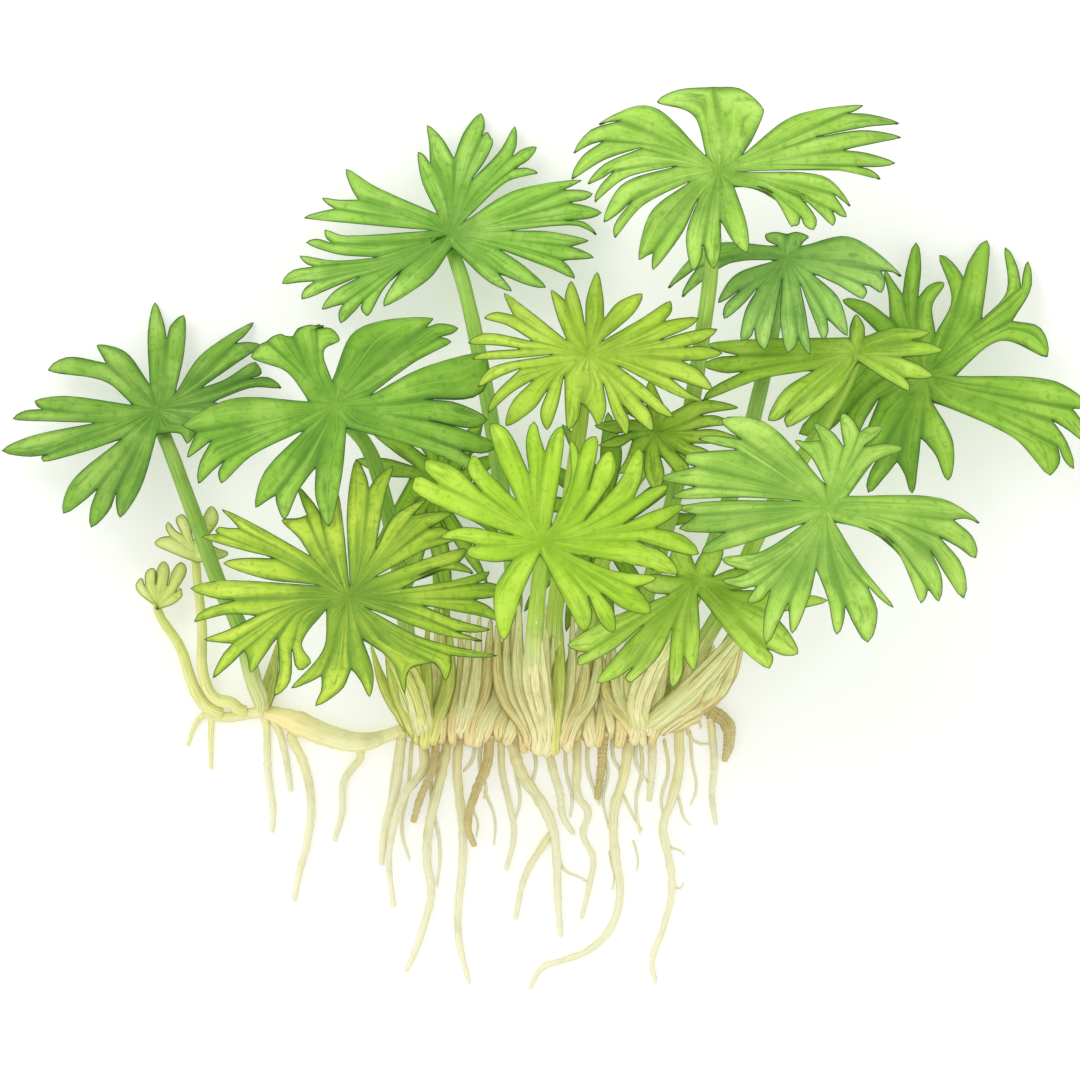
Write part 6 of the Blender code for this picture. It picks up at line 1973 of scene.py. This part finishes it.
@dataclass
class Studio:
    """The floor, the lights and the camera, which looks straight down.

    Args:
        frame_width: Width of floor that the picture shows, in metres.
        distance: Height of the camera, in metres.
        sensor: Sensor width in mm.
    """

    frame_width: float = 0.108
    distance: float = 3.6
    sensor: float = 36.0

    def build_floor(self) -> None:
        """A plain pale floor that is lit a little from below, like a light table."""
        bpy.ops.object.select_all(action="DESELECT")
        bpy.ops.mesh.primitive_plane_add(size=6.0, location=(0.0, 0.0, -0.00002))
        floor = bpy.context.object
        floor.name = "floor"
        material = bpy.data.materials.new("floor_paper")
        material.use_nodes = True
        shader = material.node_tree.nodes["Principled BSDF"]
        shader.inputs["Base Color"].default_value = (0.72, 0.72, 0.71, 1.0)
        shader.inputs["Roughness"].default_value = 0.9
        shader.inputs["Specular IOR Level"].default_value = 0.1
        shader.inputs["Emission Color"].default_value = (1.0, 1.0, 0.97, 1.0)
        shader.inputs["Emission Strength"].default_value = 0.36
        floor.data.materials.append(material)
        floor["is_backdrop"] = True

    def build_light(self) -> None:
        """Even light from all round, and one large soft lamp from the upper left."""
        world = bpy.data.worlds.new("studio")
        world.use_nodes = True
        world.node_tree.nodes["Background"].inputs["Color"].default_value = (1.0, 1.0, 1.0, 1.0)
        world.node_tree.nodes["Background"].inputs["Strength"].default_value = 1.0
        bpy.context.scene.world = world
        bpy.ops.object.light_add(type="AREA", location=(-0.45, 0.5, 0.8), rotation=(-0.54, -0.46, 0.0))
        key = bpy.context.object
        key.name = "key"
        key.data.shape = "DISK"
        key.data.size = 0.55
        key.data.energy = 2.2

    def build_camera(self) -> None:
        """The camera, straight above the sheet's centre."""
        bpy.ops.object.camera_add(location=(-0.00015, 0.0, self.distance), rotation=(0.0, 0.0, 0.0))
        camera = bpy.context.object
        camera.name = "camera"
        camera.data.sensor_width = self.sensor
        camera.data.lens = self.sensor * self.distance / self.frame_width
        camera.data.clip_start = 0.1
        camera.data.clip_end = 20.0
        bpy.context.scene.camera = camera
        bpy.context.scene.view_settings.view_transform = "Standard"


def corners() -> list[list[float]]:
    """The shown object's box as plain lists."""
    return [list(corner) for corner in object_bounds()]


def main() -> None:
    """Loads the frame, then builds and dresses every piece in order."""
    logging.basicConfig(level=logging.INFO, format="%(name)s: %(message)s")
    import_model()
    studio = Studio()
    studio.build_floor()
    studio.build_light()
    studio.build_camera()
    for name, plan in LEAVES.items():
        blade = LeafBlade(name, plan)
        shape = blade.build()
        blade.dress(shape)
        stalk = Stalk(blade)
        stem = stalk.build()
        stalk.dress(stem)
        LOG.info("built %s with %d faces", name, len(shape.data.polygons))
    roots = Roots().build()
    LOG.info("built %d roots and rootlets", len(roots))
    crown = Crown().build()
    LOG.info("built %d crown pieces", len(crown))


if __name__ == "__main__":
    main()
